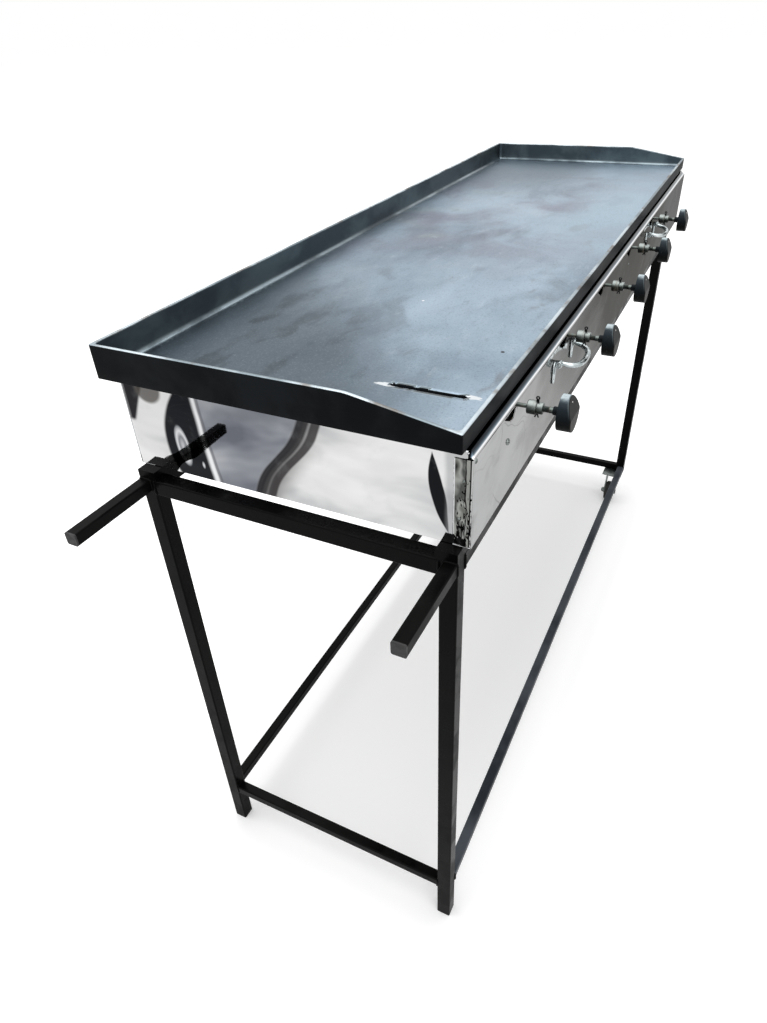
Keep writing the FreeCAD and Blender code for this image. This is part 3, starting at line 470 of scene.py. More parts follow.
@dataclass(frozen=True)
class ShaftZinc:
    """Zinc of the turned shafts: a pale greenish painted highlight on top and painted shade below the axis.
    """

    name: str
    axis_height: float
    radius: float

    def build(self) -> bpy.types.Material:
        """A ramp of painted highlight and painted shade over the height above the axis, broken by rings round
        the shaft and by stains.

        Returns:
            The finished material.
        """
        s = Shader(self.name)
        rings = s.noise(240.0, 3.0, s.warped((0.1, 1.0, 0.1)))
        # Painted light: pale on top, dark below the axis.
        up = (s.z - self.axis_height) / self.radius * 0.5 + 0.5 + (s.noise(90.0, 4.0) - 0.5) * 0.35
        stops = [
            (0.10, (0.006, 0.007, 0.006)), (0.42, (0.030, 0.035, 0.032)), (0.60, (0.11, 0.13, 0.12)),
            (0.90, (0.28, 0.31, 0.30)),
        ]
        base = s.mix(s.ramp(up, stops), (0.14, 0.11, 0.085), rings.step(0.52, 0.66) * 0.35)
        rough = 0.30 + rings * 0.20
        return s.finish(base, rough, s.bump(s.noise(900.0, 2.0) + rings, 0.00002), Metallic=1.0)


@dataclass(frozen=True)
class MirrorSheet:
    """Polished sheet: smudges, fine scratches and slow dents under a near mirror gloss."""

    name: str

    def tone(self, s: Shader) -> Signal:
        """Colour of the mirror: pale steel with soft grey clouds."""
        clouds = s.noise(4.0, 3.0, s.warped((1.0, 1.0, 1.4), 0.25, 3.0))
        return s.ramp(
            clouds, [(0.34, (0.30, 0.31, 0.32)), (0.52, (0.60, 0.61, 0.62)), (0.66, (0.86, 0.87, 0.87))]
        )

    def metal(self, s: Shader) -> Signal | float:
        """How much of the light the mirror gives back; the rest is lost in its haze."""
        return 1.0

    def build(self) -> bpy.types.Material:
        """Tone, then dull smudges and scratches that also roughen the gloss.

        Returns:
            The finished material.
        """
        s = Shader(self.name)
        smudge = s.noise(26.0, 6.0, s.warped((1, 1, 1), 0.05)).step(0.56, 0.72)
        lines = s.scratches(20.0, (1.0, 1.0, 7.0), 0.012) * s.noise(8.0).step(0.5, 0.62)
        base = s.mix(self.tone(s), (0.35, 0.36, 0.37), (smudge * 0.10 + lines * 0.05).least(1.0))
        rough = 0.035 + smudge * 0.08 + lines * 0.05
        slow = s.bump(s.noise(7.0, 1.0, s.warped((1, 1, 1), 0.04)), 0.0012)
        normal = s.bump(s.noise(60.0, 2.0) + lines * 0.1, 0.00003, slow)
        return s.finish(base, rough, normal, Metallic=self.metal(s), Specular_IOR_Level=0.0)


@dataclass(frozen=True)
class NearEndMirror(MirrorSheet):
    """The near end sheet: painted reflections in bold curved bands, as a bent mirror gives, on pale steel."""

    front: float
    middle_height: float = 0.942

    def tone(self, s: Shader) -> Signal:
        """The bands, painted reflections, are strips about curved centre lines y(z), softly warped by noise.

        Args:
            s: The material's shader.

        Returns:
            Its colour.
        """
        # Painted reflections: every band, ring, curl and dark or pale shape below is a reflection painted
        # into the colour; the gleam is a painted highlight.
        warp = (s.noise(9.0, 2.0) - 0.5) * 0.010
        y = s.y - self.front + warp
        rise = s.z - self.middle_height
        clouds = s.noise(5.0, 3.0, s.warped((1.0, 1.0, 2.2), 0.3, 2.5))
        pale = s.ramp(
            clouds, [(0.34, (0.56, 0.57, 0.58)), (0.50, (0.80, 0.80, 0.80)), (0.64, (0.90, 0.90, 0.90))]
        )
        slate = s.ramp(
            clouds, [(0.35, (0.15, 0.16, 0.19)), (0.52, (0.30, 0.315, 0.35)), (0.68, (0.50, 0.51, 0.54))]
        )
        river = y - 0.233 + rise * 0.66 + (rise * 53.0).sine() * 0.005
        tone = s.mix(pale, slate, river.step(-0.002, 0.012) * (y - 0.350 - rise * 0.14).step(0.005, -0.005))
        brown = river.step(-0.055, -0.012) * river.step(0.004, 0.0)
        tone = s.mix(tone, (0.20, 0.19, 0.185), brown * rise.step(0.07, -0.03) * 0.85)
        tone = s.mix(tone, (0.022, 0.022, 0.025), river.band(0.006, 0.005) * 0.97)
        tone = s.mix(tone, (0.040, 0.036, 0.036), (river + 0.018).band(0.0045, 0.004) * 0.92)
        tone = s.mix(tone, (0.07, 0.068, 0.07), (river + 0.009).band(0.004, 0.005) * 0.6)
        gleam = (y - 0.358 - rise * 0.14).band(0.004, 0.005)
        tone = s.mix(tone, (0.92, 0.93, 0.95), gleam * 0.9)
        tone = s.mix(tone, (0.10, 0.105, 0.12), (y - 0.347 - rise * 0.14).band(0.0012, 0.003) * 0.6)
        bow = rise + 0.012
        left = y - 0.423 + bow * bow * 4.8
        right = y - 0.358 - rise * 0.12
        swirl = left.step(0.003, -0.003) * right.step(-0.004, 0.004)
        tone = s.mix(tone, (0.012, 0.013, 0.016), swirl)
        across = (y - 0.396 - rise * 0.08) / 0.012
        along = (rise + 0.016) / 0.032
        ring = distance(across, along)
        rings = [
            (0.0, (0.62, 0.63, 0.66)), (0.45, (0.24, 0.25, 0.27)), (0.72, (0.78, 0.79, 0.81)),
            (1.0, (0.10, 0.11, 0.12)),
        ]
        tone = s.mix(tone, s.ramp(ring, rings), ring.step(1.06, 0.94))
        curl_y = (y - 0.365) / 0.007
        curl_z = (rise + 0.040) / 0.016
        curl = distance(curl_y, curl_z)
        tone = s.mix(tone, (0.80, 0.81, 0.84), curl.band(0.10, 0.35) * 0.8)
        shade = (y - 0.472 - rise * -0.42).step(0.0, 0.006) * rise.step(0.005, 0.012)
        tone = s.mix(tone, (0.02, 0.02, 0.024), shade)
        hang_y, hang_z = (y - 0.439) / 0.026, (rise - 0.062) / 0.024
        hang = distance(hang_y, hang_z) + (clouds - 0.5) * 0.8
        tone = s.mix(tone, (0.075, 0.065, 0.055), hang.step(1.05, 0.80) * 0.85)
        leaf = abs(y - 0.0155 - rise * 0.19 + rise * rise * 1.3)
        width = 1 - (rise - 0.005) * (rise - 0.005) / 0.0028
        tone = s.mix(tone, (0.012, 0.013, 0.015), (leaf - width * 0.0088).step(0.0012, -0.0006))
        edge = (y - 0.006).step(0.004, -0.004)
        return s.mix(tone, (0.30, 0.31, 0.32), edge * 0.5)


@dataclass(frozen=True)
class FrontMirror(MirrorSheet):
    """The front sheet: painted reflections, pale at its near end, warmer and darker along its length; a
    painted highlight on the fold, painted shade behind it, and painted reflections of the bails.
    """

    near: float
    length: float
    face: float
    fold: float
    fold_run: float
    height: float
    bails: tuple[float, ...]
    pin_height: float
    crest_shift: float = 0.0645
    crest_lift: float = 0.020
    curve: float = 2.6

    def along(self, s: Shader) -> Signal:
        """Share of the length from the near end, clouded a little.

        Args:
            s: The material's shader.

        Returns:
            The share, 0 at the near end.
        """
        clouds = s.noise(5.5, 4.0, s.warped((1.0, 1.0, 2.5), 0.2, 4.0))
        drop = (self.fold - s.z) / self.height
        return (s.x - self.near) / self.length + (clouds - 0.5) * 0.18 - drop * 0.03

    def folded(self, s: Shader) -> Signal:
        """1 on the fold along the sheet's top."""
        return (s.z - self.fold).step(-0.0012, 0.0004)

    def painted_bail_reflection(self, s: Shader) -> Signal:
        """1 in the painted reflection of each bail, a bright curved band beside it: z falls with the square
        of x from its crest.

        Args:
            s: The material's shader.

        Returns:
            The share.
        """
        total = None
        for middle in self.bails:
            x = s.x - (middle - self.crest_shift)
            lift = s.z - (self.pin_height + self.crest_lift) + x * x * self.curve
            band = lift.band(0.0026, 0.0030) * x.step(-0.023, -0.018) * x.step(0.094, 0.086)
            total = band if total is None else total.most(band)
        return total

    def metal(self, s: Shader) -> Signal | float:
        """Full at the near end, on the fold and in the bails' painted reflections; hazy along the middle.

        Args:
            s: The material's shader.

        Returns:
            The share of light that is mirrored.
        """
        shares = [
            (0.14, 1.0), (0.22, 0.78), (0.30, 0.48), (0.40, 0.20), (0.55, 0.155), (0.70, 0.19), (0.85, 0.26)
        ]
        haze = s.ramp(self.along(s), [(place, (share, share, share)) for place, share in shares])
        return haze.most(self.folded(s)).most(self.painted_bail_reflection(s))

    def tone(self, s: Shader) -> Signal:
        """Painted reflections: a ramp along X, clouded, with thin wandering dark lines and the bails'
        reflections; on the fold, a banded painted highlight and painted shade.

        Args:
            s: The material's shader.

        Returns:
            Its colour.
        """
        # Painted reflection along the sheet: pale at the near end, dark and warm further along, with clouds
        # and thin dark lines.
        stops = [
            (0.00, (0.52, 0.525, 0.53)), (0.10, (0.38, 0.385, 0.385)), (0.18, (0.13, 0.13, 0.126)),
            (0.25, (0.07, 0.07, 0.066)), (0.34, (0.060, 0.058, 0.054)), (0.48, (0.072, 0.070, 0.062)),
            (0.66, (0.072, 0.068, 0.060)), (0.85, (0.10, 0.105, 0.10)), (0.98, (0.09, 0.092, 0.09)),
        ]
        tone = s.ramp(self.along(s), stops)
        soft = s.noise(14.0, 4.0, s.warped((1.0, 1.0, 1.5), 0.06, 10.0))
        tone = s.mix(tone, (0.10, 0.098, 0.095), soft.step(0.54, 0.74) * 0.40)
        veins = s.cells(9.0, s.warped((1.0, 1.0, 1.6), 0.12, 8.0), "DISTANCE_TO_EDGE").step(0.016, 0.0)
        tone = s.mix(tone, (0.05, 0.05, 0.05), veins * 0.55 * s.noise(5.0).step(0.45, 0.6))
        # Painted reflection of each bail, in mottled pale zinc.
        painted_bail_reflection = self.painted_bail_reflection(s)
        wire = s.mix((0.10, 0.13, 0.14), (0.66, 0.74, 0.76), s.noise(120.0, 3.0).step(0.40, 0.52))
        tone = s.mix(tone, wire, painted_bail_reflection)
        # Painted highlight on the fold, then painted shade from the pan over the flange behind it.
        across = (s.y - self.face) / self.fold_run + (s.noise(12.0, 2.0) - 0.5) * 0.12
        bands = [
            (0.00, (0.34, 0.34, 0.34)), (0.16, (0.50, 0.50, 0.50)), (0.26, (0.95, 0.96, 0.97)),
            (0.38, (0.90, 0.92, 0.94)), (0.52, (0.16, 0.21, 0.25)), (0.72, (0.05, 0.070, 0.090)),
            (0.95, (0.020, 0.025, 0.032)),
        ]
        return s.mix(tone, s.ramp(across, bands), self.folded(s))


@dataclass(frozen=True)
class CrumpledMirror(MirrorSheet):
    """The folded corner strip: painted highlights on its edge lines, painted reflections on a smooth band and
    on creased foil beside it.
    """

    face: float
    width: float

    def tone(self, s: Shader) -> Signal:
        """Painted reflections in bands across the strip, pushed about by noise, and on facets; painted
        highlights in a few glints low down.

        Args:
            s: The material's shader.

        Returns:
            Its colour.
        """
        t = (s.y - self.face) / self.width
        wander = (s.noise(22.0, 3.0) - 0.5) * 0.55 * t.step(0.12, 0.4)
        facets = s.cells(48.0, s.warped((1.0, 1.3, 0.6), 0.02, 30.0)) * 0.75 + s.noise(40.0, 2.0) * 0.45
        stops = [
            (0.32, (0.030, 0.032, 0.030)), (0.44, (0.16, 0.165, 0.15)), (0.58, (0.36, 0.37, 0.35)),
            (0.74, (0.09, 0.094, 0.088)),
        ]
        foil = s.ramp(facets, stops)
        band = s.mix((0.20, 0.205, 0.19), (0.38, 0.39, 0.37), s.noise(30.0, 2.0, s.warped((1, 1, 0.3))))
        tone = s.mix(band, foil, (t + wander).step(0.36, 0.40))
        # Thin lines of painted shade, and painted highlights along both edges of the strip.
        tone = s.mix(tone, (0.012, 0.012, 0.012), (t + wander - 0.38).band(0.012, 0.03))
        tone = s.mix(tone, (0.010, 0.010, 0.010), (t - 0.15).band(0.02, 0.025))
        tone = s.mix(tone, (0.62, 0.63, 0.63), (t - 0.07).band(0.02, 0.03) * 0.8)
        glint = s.noise(60.0, 2.0, s.warped((1.0, 1.0, 0.6), 0.02, 30.0)).step(0.54, 0.62)
        tone = s.mix(tone, (0.90, 0.91, 0.92), glint * s.z.step(0.915, 0.885))
        return s.mix(tone, (0.75, 0.76, 0.77), (t - 0.98).band(0.03, 0.03))


@dataclass(frozen=True)
class GriddleSteel:
    """Used griddle plate: blue-grey steel with heat tints, scuffs and bare ground edges."""

    corner: Point
    slot: Point
    slot_length: float
    name: str = "griddle_steel_used"

    def spot(self, s: Shader, x: float, y: float, size: float) -> Signal:
        """1 inside a small round mark at a place counted from the pan's near front corner."""
        across, along = s.x - (self.corner[0] + x), s.y - (self.corner[1] + y)
        return distance(across, along).step(size, size * 0.6)

    def plate(self, s: Shader) -> Signal:
        """Colour of the floor: a dark near corner, pale drifts, purple and straw heat tints.

        Args:
            s: The material's shader.

        Returns:
            Its colour.
        """
        x, y = s.x - self.corner[0], s.y - self.corner[1]
        slow = s.noise(2.4, 4.0, s.warped((0.8, 1.3, 1.0), 0.4, 2.0))
        mid = s.noise(9.0, 6.0, s.warped((0.55, 1.0, 1.0), 0.15, 5.0))
        floor = s.ramp(
            slow, [(0.30, (0.20, 0.265, 0.335)), (0.48, (0.295, 0.375, 0.45)), (0.66, (0.40, 0.49, 0.58))]
        )
        purple = s.noise(3.6, 4.0, s.warped((1.0, 1.0, 1.0), 0.3, 3.0)).step(0.44, 0.62)
        floor = s.mix(floor, (0.185, 0.165, 0.225), purple * (x - 0.6).step(-0.2, 0.3) * 0.60)
        straw = s.noise(3.0, 3.0, s.warped((1.6, 0.6, 1.0), 0.2, 4.0)).step(0.5, 0.64) * y.step(0.15, 0.4)
        floor = s.mix(floor, (0.33, 0.37, 0.30), straw * 0.4 * x.step(0.4, 0.8))
        floor = s.mix(floor, (0.13, 0.165, 0.20), mid.step(0.52, 0.68) * 0.42)
        floor = s.mix(floor, (0.46, 0.54, 0.61), mid.step(0.44, 0.30) * 0.2)
        grain = s.noise(46.0, 6.0, s.warped((0.4, 1.0, 1.0), 0.05, 8.0), 0.7)
        floor = s.mix(floor, (0.12, 0.15, 0.175), grain.step(0.55, 0.75) * 0.34)
        floor = s.mix(floor, (0.52, 0.60, 0.66), grain.step(0.44, 0.28) * 0.28)
        near = (x * 0.9 - y * 1.1 + (slow - 0.5) * 0.35).step(0.14, -0.26)
        floor = s.mix(floor, (0.075, 0.098, 0.118), near * 0.90)
        blot = s.noise(11.0, 5.0, s.warped((0.6, 1.2, 1.0), 0.08, 5.0)).step(0.54, 0.64) * near
        floor = s.mix(floor, (0.035, 0.045, 0.055), blot * 0.55)
        stain = s.noise(7.0, 5.0, s.warped((0.7, 1.6, 1.0), 0.1, 6.0)).step(0.60, 0.70) * y.step(0.32, 0.12)
        floor = s.mix(floor, (0.10, 0.085, 0.075), stain * 0.5)
        edge = (x - 1.35 + (slow - 0.5) * 0.3).step(0.0, 0.22)
        lane = (y - 0.24 + (slow - 0.5) * 0.3).step(0.0, -0.16) * x.step(0.55, 0.95)
        floor = s.mix(floor, (0.42, 0.54, 0.63), edge.most(lane) * 0.6)
        floor = s.mix(floor, (0.19, 0.24, 0.29), (x - 1.10).step(0.0, 0.3) * (y - 0.12).step(0.0, 0.2) * 0.85)
        floor = s.mix(floor, (0.012, 0.012, 0.013), self.spot(s, 0.265, 0.045, 0.0035))
        return s.mix(floor, (0.85, 0.86, 0.87), self.spot(s, 0.416, 0.230, 0.0026))

    def ground(self, s: Shader) -> Signal:
        """1 in the two ragged bright zones left by the grinder at the slot's ends.

        Args:
            s: The material's shader.

        Returns:
            The share.
        """
        ragged = (s.noise(160.0, 5.0, s.warped((1.6, 0.5, 1.0), 0.004, 60.0)) - 0.5) * 1.6
        total = None
        for end in (-1.0, 1.0):
            across = (s.x - self.slot[0] + end * 0.002) / 0.0058
            along = (s.y - (self.slot[1] + end * (self.slot_length / 2 + 0.006))) / 0.014
            zone = (distance(across, along) + ragged).step(1.05, 0.80)
            total = zone if total is None else total.most(zone)
        return total

    def build(self) -> bpy.types.Material:
        """The station attribute says which part of the section is dressed.

        It is 0 on the outer walls, 1 on the rim, 2 on the inner walls, 3 in the fillet
        and 4 on the floor.

        Returns:
            The finished material.
        """
        s = Shader(self.name)
        station = s.node("ShaderNodeAttribute", {"attribute_name": "station"}, {}, "Fac")
        mid = s.noise(9.0, 6.0, s.warped((0.55, 1.0, 1.0), 0.15, 5.0))
        fine = s.noise(70.0, 4.0, s.warped((0.35, 1.0, 1.0), 0.02))
        sand = s.noise(420.0, 3.0)
        floor = s.mix(self.plate(s), (0.05, 0.065, 0.08), sand.step(0.54, 0.70) * 0.30)
        floor = s.mix(floor, (0.55, 0.63, 0.69), sand.step(0.46, 0.30) * 0.10)
        floor = s.mix(floor, (0.66, 0.69, 0.71), self.ground(s))
        scale = s.noise(12.0, 6.0, s.warped((0.5, 1.0, 1.0), 0.1)).step(0.40, 0.62)
        wall = s.mix((0.0022, 0.0030, 0.0038), (0.0070, 0.0090, 0.0110), scale)
        inner = s.mix((0.060, 0.078, 0.090), (0.105, 0.135, 0.148), scale)
        rust = s.noise(24.0, 5.0).step(0.52, 0.66)
        steel = s.mix((0.24, 0.29, 0.32), (0.58, 0.65, 0.69), mid.step(0.4, 0.6))
        rim = s.mix(steel, (0.16, 0.11, 0.075), rust * 0.6)
        worn = s.noise(18.0, 4.0, s.warped((1.0, 1.0, 1.0), 0.05)) * 0.5
        base = s.mix(wall, rim, station.step(0.70, 0.90))
        base = s.mix(base, inner, (station + worn - 0.25).step(1.08, 1.3))
        # Painted highlight along the inner fillet at the foot of the walls.
        bright = station.step(2.35, 2.8) * station.step(3.95, 3.2)
        base = s.mix(base, floor, station.step(2.9, 3.4))
        base = s.mix(base, (0.42, 0.50, 0.55), bright * mid.step(0.62, 0.38) * 0.65)
        rough = 0.32 + fine * 0.16 + mid * 0.10 - bright * 0.1
        normal = s.bump(fine, 0.00005, s.bump(mid, 0.0003))
        return s.finish(base, rough, normal, Metallic=station.step(0.5, 0.8), Specular_IOR_Level=0.06)


# Meshes

POLE = 0.0001  # a turned surface stops this far from its axis


def frames_along(path: np.ndarray, normal: Point) -> tuple[np.ndarray, np.ndarray]:
    """Two directions across a flat path at each of its points.

    The first is the plane's normal; the second is the tangent crossed with it.

    Args:
        path: Points of the path, n by 3.
        normal: Normal of its plane.

    Returns:
        Both directions, each n by 3.
    """
    tangent = np.gradient(path, axis=0)
    tangent /= np.linalg.norm(tangent, axis=1, keepdims=True)
    upright = np.broadcast_to(np.asarray(normal, float), path.shape)
    return upright, np.cross(tangent, upright)


def tube(
    path: np.ndarray, radius: np.ndarray | float, normal: Point, sides: int = 24, closed: bool = False
) -> np.ndarray:
    """Round tube: circles of the given radius set square on each path point.

    Args:
        path: Centre line, n by 3, lying in one plane.
        radius: One radius, or one for each point.
        normal: Normal of that plane.
        sides: Points round each circle.
        closed: True where the last point meets the first.

    Returns:
        Grid of n by sides points.
    """
    line = np.concatenate([path[-2:-1], path, path[1:2]]) if closed else path
    upright, sideways = frames_along(line, normal)
    if closed:
        upright, sideways = upright[1:-1], sideways[1:-1]
    turn = np.linspace(0, 2 * math.pi, sides, endpoint=False)
    size = np.broadcast_to(np.asarray(radius, float), len(path))[:, None, None]
    ring = np.cos(turn)[None, :, None] * sideways[:, None] + np.sin(turn)[None, :, None] * upright[:, None]
    return path[:, None] + size * ring


def lathe(
    profile: Sequence[tuple[float, float]], centre: Point, axis: Point, sides: int = 48,
    ripple: np.ndarray | float = 0.0,
) -> np.ndarray:
    """Turned surface: each profile point (radius, distance along the axis) becomes a circle.

    Args:
        profile: Points from one end to the other.
        centre: Where the distance is zero.
        axis: Direction of the axis.
        sides: Points round each circle.
        ripple: Added to the radius round the circle.

    Returns:
        Grid of points, one row for each profile point.
    """
    along = np.asarray(axis, float) / np.linalg.norm(axis)
    side = np.cross(along, (0, 0, 1) if abs(along[2]) < 0.9 else (1, 0, 0))
    side /= np.linalg.norm(side)
    other = np.cross(along, side)
    turn = np.linspace(0, 2 * math.pi, sides, endpoint=False)
    rows = np.asarray(profile, float)
    radius = rows[:, :1] + np.where(rows[:, :1] > 1e-6, ripple, 0.0)
    ring = np.cos(turn)[:, None] * side + np.sin(turn)[:, None] * other
    return np.asarray(centre) + rows[:, 1][:, None, None] * along + radius[:, :, None] * ring[None]


def rounded(profile: Sequence[tuple[float, float]], radius: float, steps: int = 3) -> list[
    tuple[float, float]
]:
    """Round each inner corner of a profile by a quadratic curve that starts radius before it.

    Args:
        profile: Points (radius, distance along the axis).
        radius: How far from the corner a curve starts.
        steps: Parts of each curve.

    Returns:
        The rounded profile.
    """
    points = np.asarray(profile, float)
    out = [points[0]]
    share = np.linspace(0, 1, steps + 1)[:, None]
    for before, corner, after in zip(points, points[1:], points[2:]):
        back, ahead = before - corner, after - corner
        start = corner + back * min(0.5, radius / max(np.linalg.norm(back), 1e-9))
        end = corner + ahead * min(0.5, radius / max(np.linalg.norm(ahead), 1e-9))
        out.extend((1 - share) ** 2 * start + 2 * share * (1 - share) * corner + share**2 * end)
    out.append(points[-1])
    return [tuple(p) for p in out]


def cylinder(radius: float, length: float) -> list[tuple[float, float]]:
    """Profile of a plain cylinder, from pole to pole."""
    return [(POLE, 0.0), (radius, 0.0), (radius, length), (POLE, length)]


def slab(
    outline: np.ndarray, origin: Point, across: Point, up: Point, depth: float, edge: float
) -> np.ndarray:
    """Flat plate with softened edges.

    The outline's loops, shrunk towards its middle, are stacked along the normal.

    Args:
        outline: Closed outline in the plate's own two directions, n by 2.
        origin: Point on the back face.
        across: First direction.
        up: Second direction; across crossed with up is the way to the front face.
        depth: Thickness.
        edge: Size of the rounded edge.

    Returns:
        Grid of loops, from the middle of the back to the middle of the front.
    """
    across, up = np.asarray(across, float), np.asarray(up, float)
    normal = np.cross(across, up)
    middle = outline.mean(0)
    reach = np.linalg.norm(outline - middle, axis=1).mean()
    turn = np.linspace(0, math.pi / 2, 4)
    inset = np.concatenate(
        [[reach, edge * 2], edge * (1 - np.sin(turn)), edge * (1 - np.cos(turn)), [edge * 2, reach]]
    )
    height = np.concatenate(
        [[0, 0], edge * (1 - np.cos(turn)), depth - edge * (1 - np.sin(turn)), [depth, depth]]
    )
    scale = np.maximum(1 - inset / reach, 1e-3)[:, None, None]
    flat = middle + (outline - middle)[None] * scale
    return np.asarray(origin) + flat[..., :1] * across + flat[..., 1:] * up + height[:, None, None] * normal


def waves(first: np.ndarray, second: np.ndarray, seed: int, length: float, count: int = 7) -> np.ndarray:
    """Slow dents from -1 to 1: a sum of sines with seeded directions, lengths and phases.

    Args:
        first: Place along the first direction.
        second: Place along the second.
        seed: Start of the random draws.
        length: Typical distance between dents.
        count: How many sines.

    Returns:
        The dents, in the shape of both places together.
    """
    source = np.random.default_rng(seed)
    total = np.zeros(np.broadcast(first, second).shape)
    for _ in range(count):
        turn, phase = source.uniform(0, 2 * math.pi, 2)
        pitch = length * source.uniform(0.5, 1.6)
        total += np.sin(2 * math.pi * (first * math.cos(turn) + second * math.sin(turn)) / pitch + phase)
    return total / count


def fade(value: np.ndarray, low: float, high: float, width: float) -> np.ndarray:
    """0 at both ends of a range and 1 inside it, eased over width.

    Args:
        value: Where to work it out.
        low: Start of the range.
        high: End of the range.
        width: Length of each ease.

    Returns:
        The share.
    """
    near = np.clip((value - low) / width, 0, 1)
    far = np.clip((high - value) / width, 0, 1)
    edge = np.minimum(near, far)
    return edge * edge * (3 - 2 * edge)


@dataclass
class Skin:
    """One new piece, gathered patch by patch and made into a mesh object."""

    name: str
    slot: Slot
    body: str
    points: list[np.ndarray] = field(default_factory=list)
    stations: list[np.ndarray] = field(default_factory=list)
    faces: list[np.ndarray] = field(default_factory=list)
    count: int = 0

    def patch(
        self,
        grid: np.ndarray,
        loop_rows: bool = False,
        loop_columns: bool = False,
        caps: bool = False,
        station: np.ndarray | float = 0.0,
        keep: np.ndarray | None = None,
    ) -> "Skin":
        """Add a grid of points as quads.

        Args:
            grid: Rows by columns by 3.
            loop_rows: Join the last row to the first.
            loop_columns: Join the last column to the first.
            caps: Close the first and the last row, both loops, with a face each.
            station: Value of the station attribute, one for all or one for each point.
            keep: Which cells stay, where some are left open.

        Returns:
            This skin, so that calls chain.
        """
        rows, columns = grid.shape[:2]
        index = np.arange(rows * columns).reshape(rows, columns) + self.count
        if loop_rows:
            index = np.concatenate([index, index[:1]])
        if loop_columns:
            index = np.concatenate([index, index[:, :1]], axis=1)
        quads = cells_of(index)
        self.faces.append(quads[keep] if keep is not None else quads.reshape(-1, 4))
        if caps:
            self.faces += [index[:1, :-1][:, ::-1], index[-1:, :-1]]
        self.points.append(grid.reshape(-1, 3))
        self.stations.append(np.broadcast_to(np.asarray(station, float), (rows, columns)).reshape(-1))
        self.count += rows * columns
        return self

    def solid(self, grid: np.ndarray) -> "Skin":
        """Add a closed solid: each row of the grid is a loop, and the end rows get a face."""
        return self.patch(grid, loop_columns=True, caps=True)

    def hoop(self, grid: np.ndarray) -> "Skin":
        """Add a ring: the grid closes on itself both ways."""
        return self.patch(grid, loop_rows=True, loop_columns=True)

    def make(
        self, material: bpy.types.Material, *replaced: str, merge: float = 1e-6, crease: float = 40.0,
        thickness: float = 0.0,
    ) -> bpy.types.Object:
        """Turn the patches into one object at the origin.

        Args:
            material: Finish of the whole piece.
            *replaced: Nodes that this piece stands for.
            merge: Points nearer than this become one.
            crease: Edges turned by more than this many degrees stay sharp.
            thickness: Sheet thickness, grown inwards, where the piece is an open sheet.

        Returns:
            The new object, riding on its body.
        """
        mesh = bpy.data.meshes.new(self.name)
        faces = [face for group in self.faces for face in group.tolist()]
        mesh.from_pydata(np.concatenate(self.points), [], faces)
        mesh.attributes.new("station", "FLOAT", "POINT").data.foreach_set(
            "value", np.concatenate(self.stations)
        )
        work = bmesh.new()
        work.from_mesh(mesh)
        bmesh.ops.remove_doubles(work, verts=work.verts, dist=merge)
        bmesh.ops.recalc_face_normals(work, faces=work.faces)
        work.to_mesh(mesh)
        work.free()
        mesh.polygons.foreach_set("use_smooth", [True] * len(mesh.polygons))
        mesh.set_sharp_from_angle(angle=math.radians(crease))
        mesh.materials.append(material)
        piece = bpy.data.objects.new(self.name, mesh)
        bpy.context.scene.collection.objects.link(piece)
        if thickness:
            solid = piece.modifiers.new("sheet", "SOLIDIFY")
            solid.thickness = thickness
            solid.offset = -1.0
        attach(piece, self.body)
        if replaced:
            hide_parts(*replaced)
        log.info("%s: %d faces", self.name, len(mesh.polygons))
        return piece


def surface(x: np.ndarray | float, y: np.ndarray | float, z: np.ndarray | float) -> np.ndarray:
    """Grid of points whose X, Y and Z are spread over the same rows and columns."""
    return np.stack(np.broadcast_arrays(x, y, z), axis=-1)


def cells_of(index: np.ndarray) -> np.ndarray:
    """Corners of each cell of a grid of point numbers, rows by columns by 4."""
    return np.stack([index[:-1, :-1], index[1:, :-1], index[1:, 1:], index[:-1, 1:]], axis=-1)


def capsule(length: float, width: float, steps: int = 12) -> np.ndarray:
    """Outline of a bar with round ends along its second direction, n by 2, turning left.

    Args:
        length: From end to end.
        width: From side to side.
        steps: Points on each round end.

    Returns:
        The outline.
    """
    turn = np.linspace(0, math.pi, steps)
    half = (length - width) / 2
    top = np.stack([np.cos(turn) * width / 2, half + np.sin(turn) * width / 2], axis=1)
    return np.concatenate([top, -top])


def node_box(name: str) -> tuple[np.ndarray, np.ndarray]:
    """Lowest and highest corner of a node as arrays."""
    low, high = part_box(name)
    return np.array(low), np.array(high)


def slotted_head(centre: Point, axis: Point, radius: float, height: float) -> np.ndarray:
    """Round screw head with a driver slot.

    A square grid is mapped onto a disc; its dome falls off with the square of the
    radius, and the rows within the slot's width are lowered by half the height.

    Args:
        centre: Middle of the head's seat.
        axis: The way the head looks.
        radius: Radius of the head.
        height: Height of its dome.

    Returns:
        Grid of points.
    """
    line = np.array([-1, -0.9, -0.7, -0.45, -0.17, -0.16, 0, 0.16, 0.17, 0.45, 0.7, 0.9, 1])
    u, v = np.meshgrid(line, line, indexing="ij")
    x = u * np.sqrt(1 - v * v / 2)
    y = v * np.sqrt(1 - u * u / 2)
    lift = height * (1 - 0.75 * (x * x + y * y))
    lift = np.where(np.abs(v) < 0.165, lift * 0.45, lift)
    lift = np.where(np.maximum(np.abs(u), np.abs(v)) > 0.99, -height * 0.1, lift)
    along = np.asarray(axis, float)
    side = np.cross(along, (0.3, 0.1, 0.95))
    side /= np.linalg.norm(side)
    other = np.cross(along, side)
    flat = (x * radius)[..., None] * side + (y * radius)[..., None] * other
    return np.asarray(centre) + flat + lift[..., None] * along


# Sub-assemblies


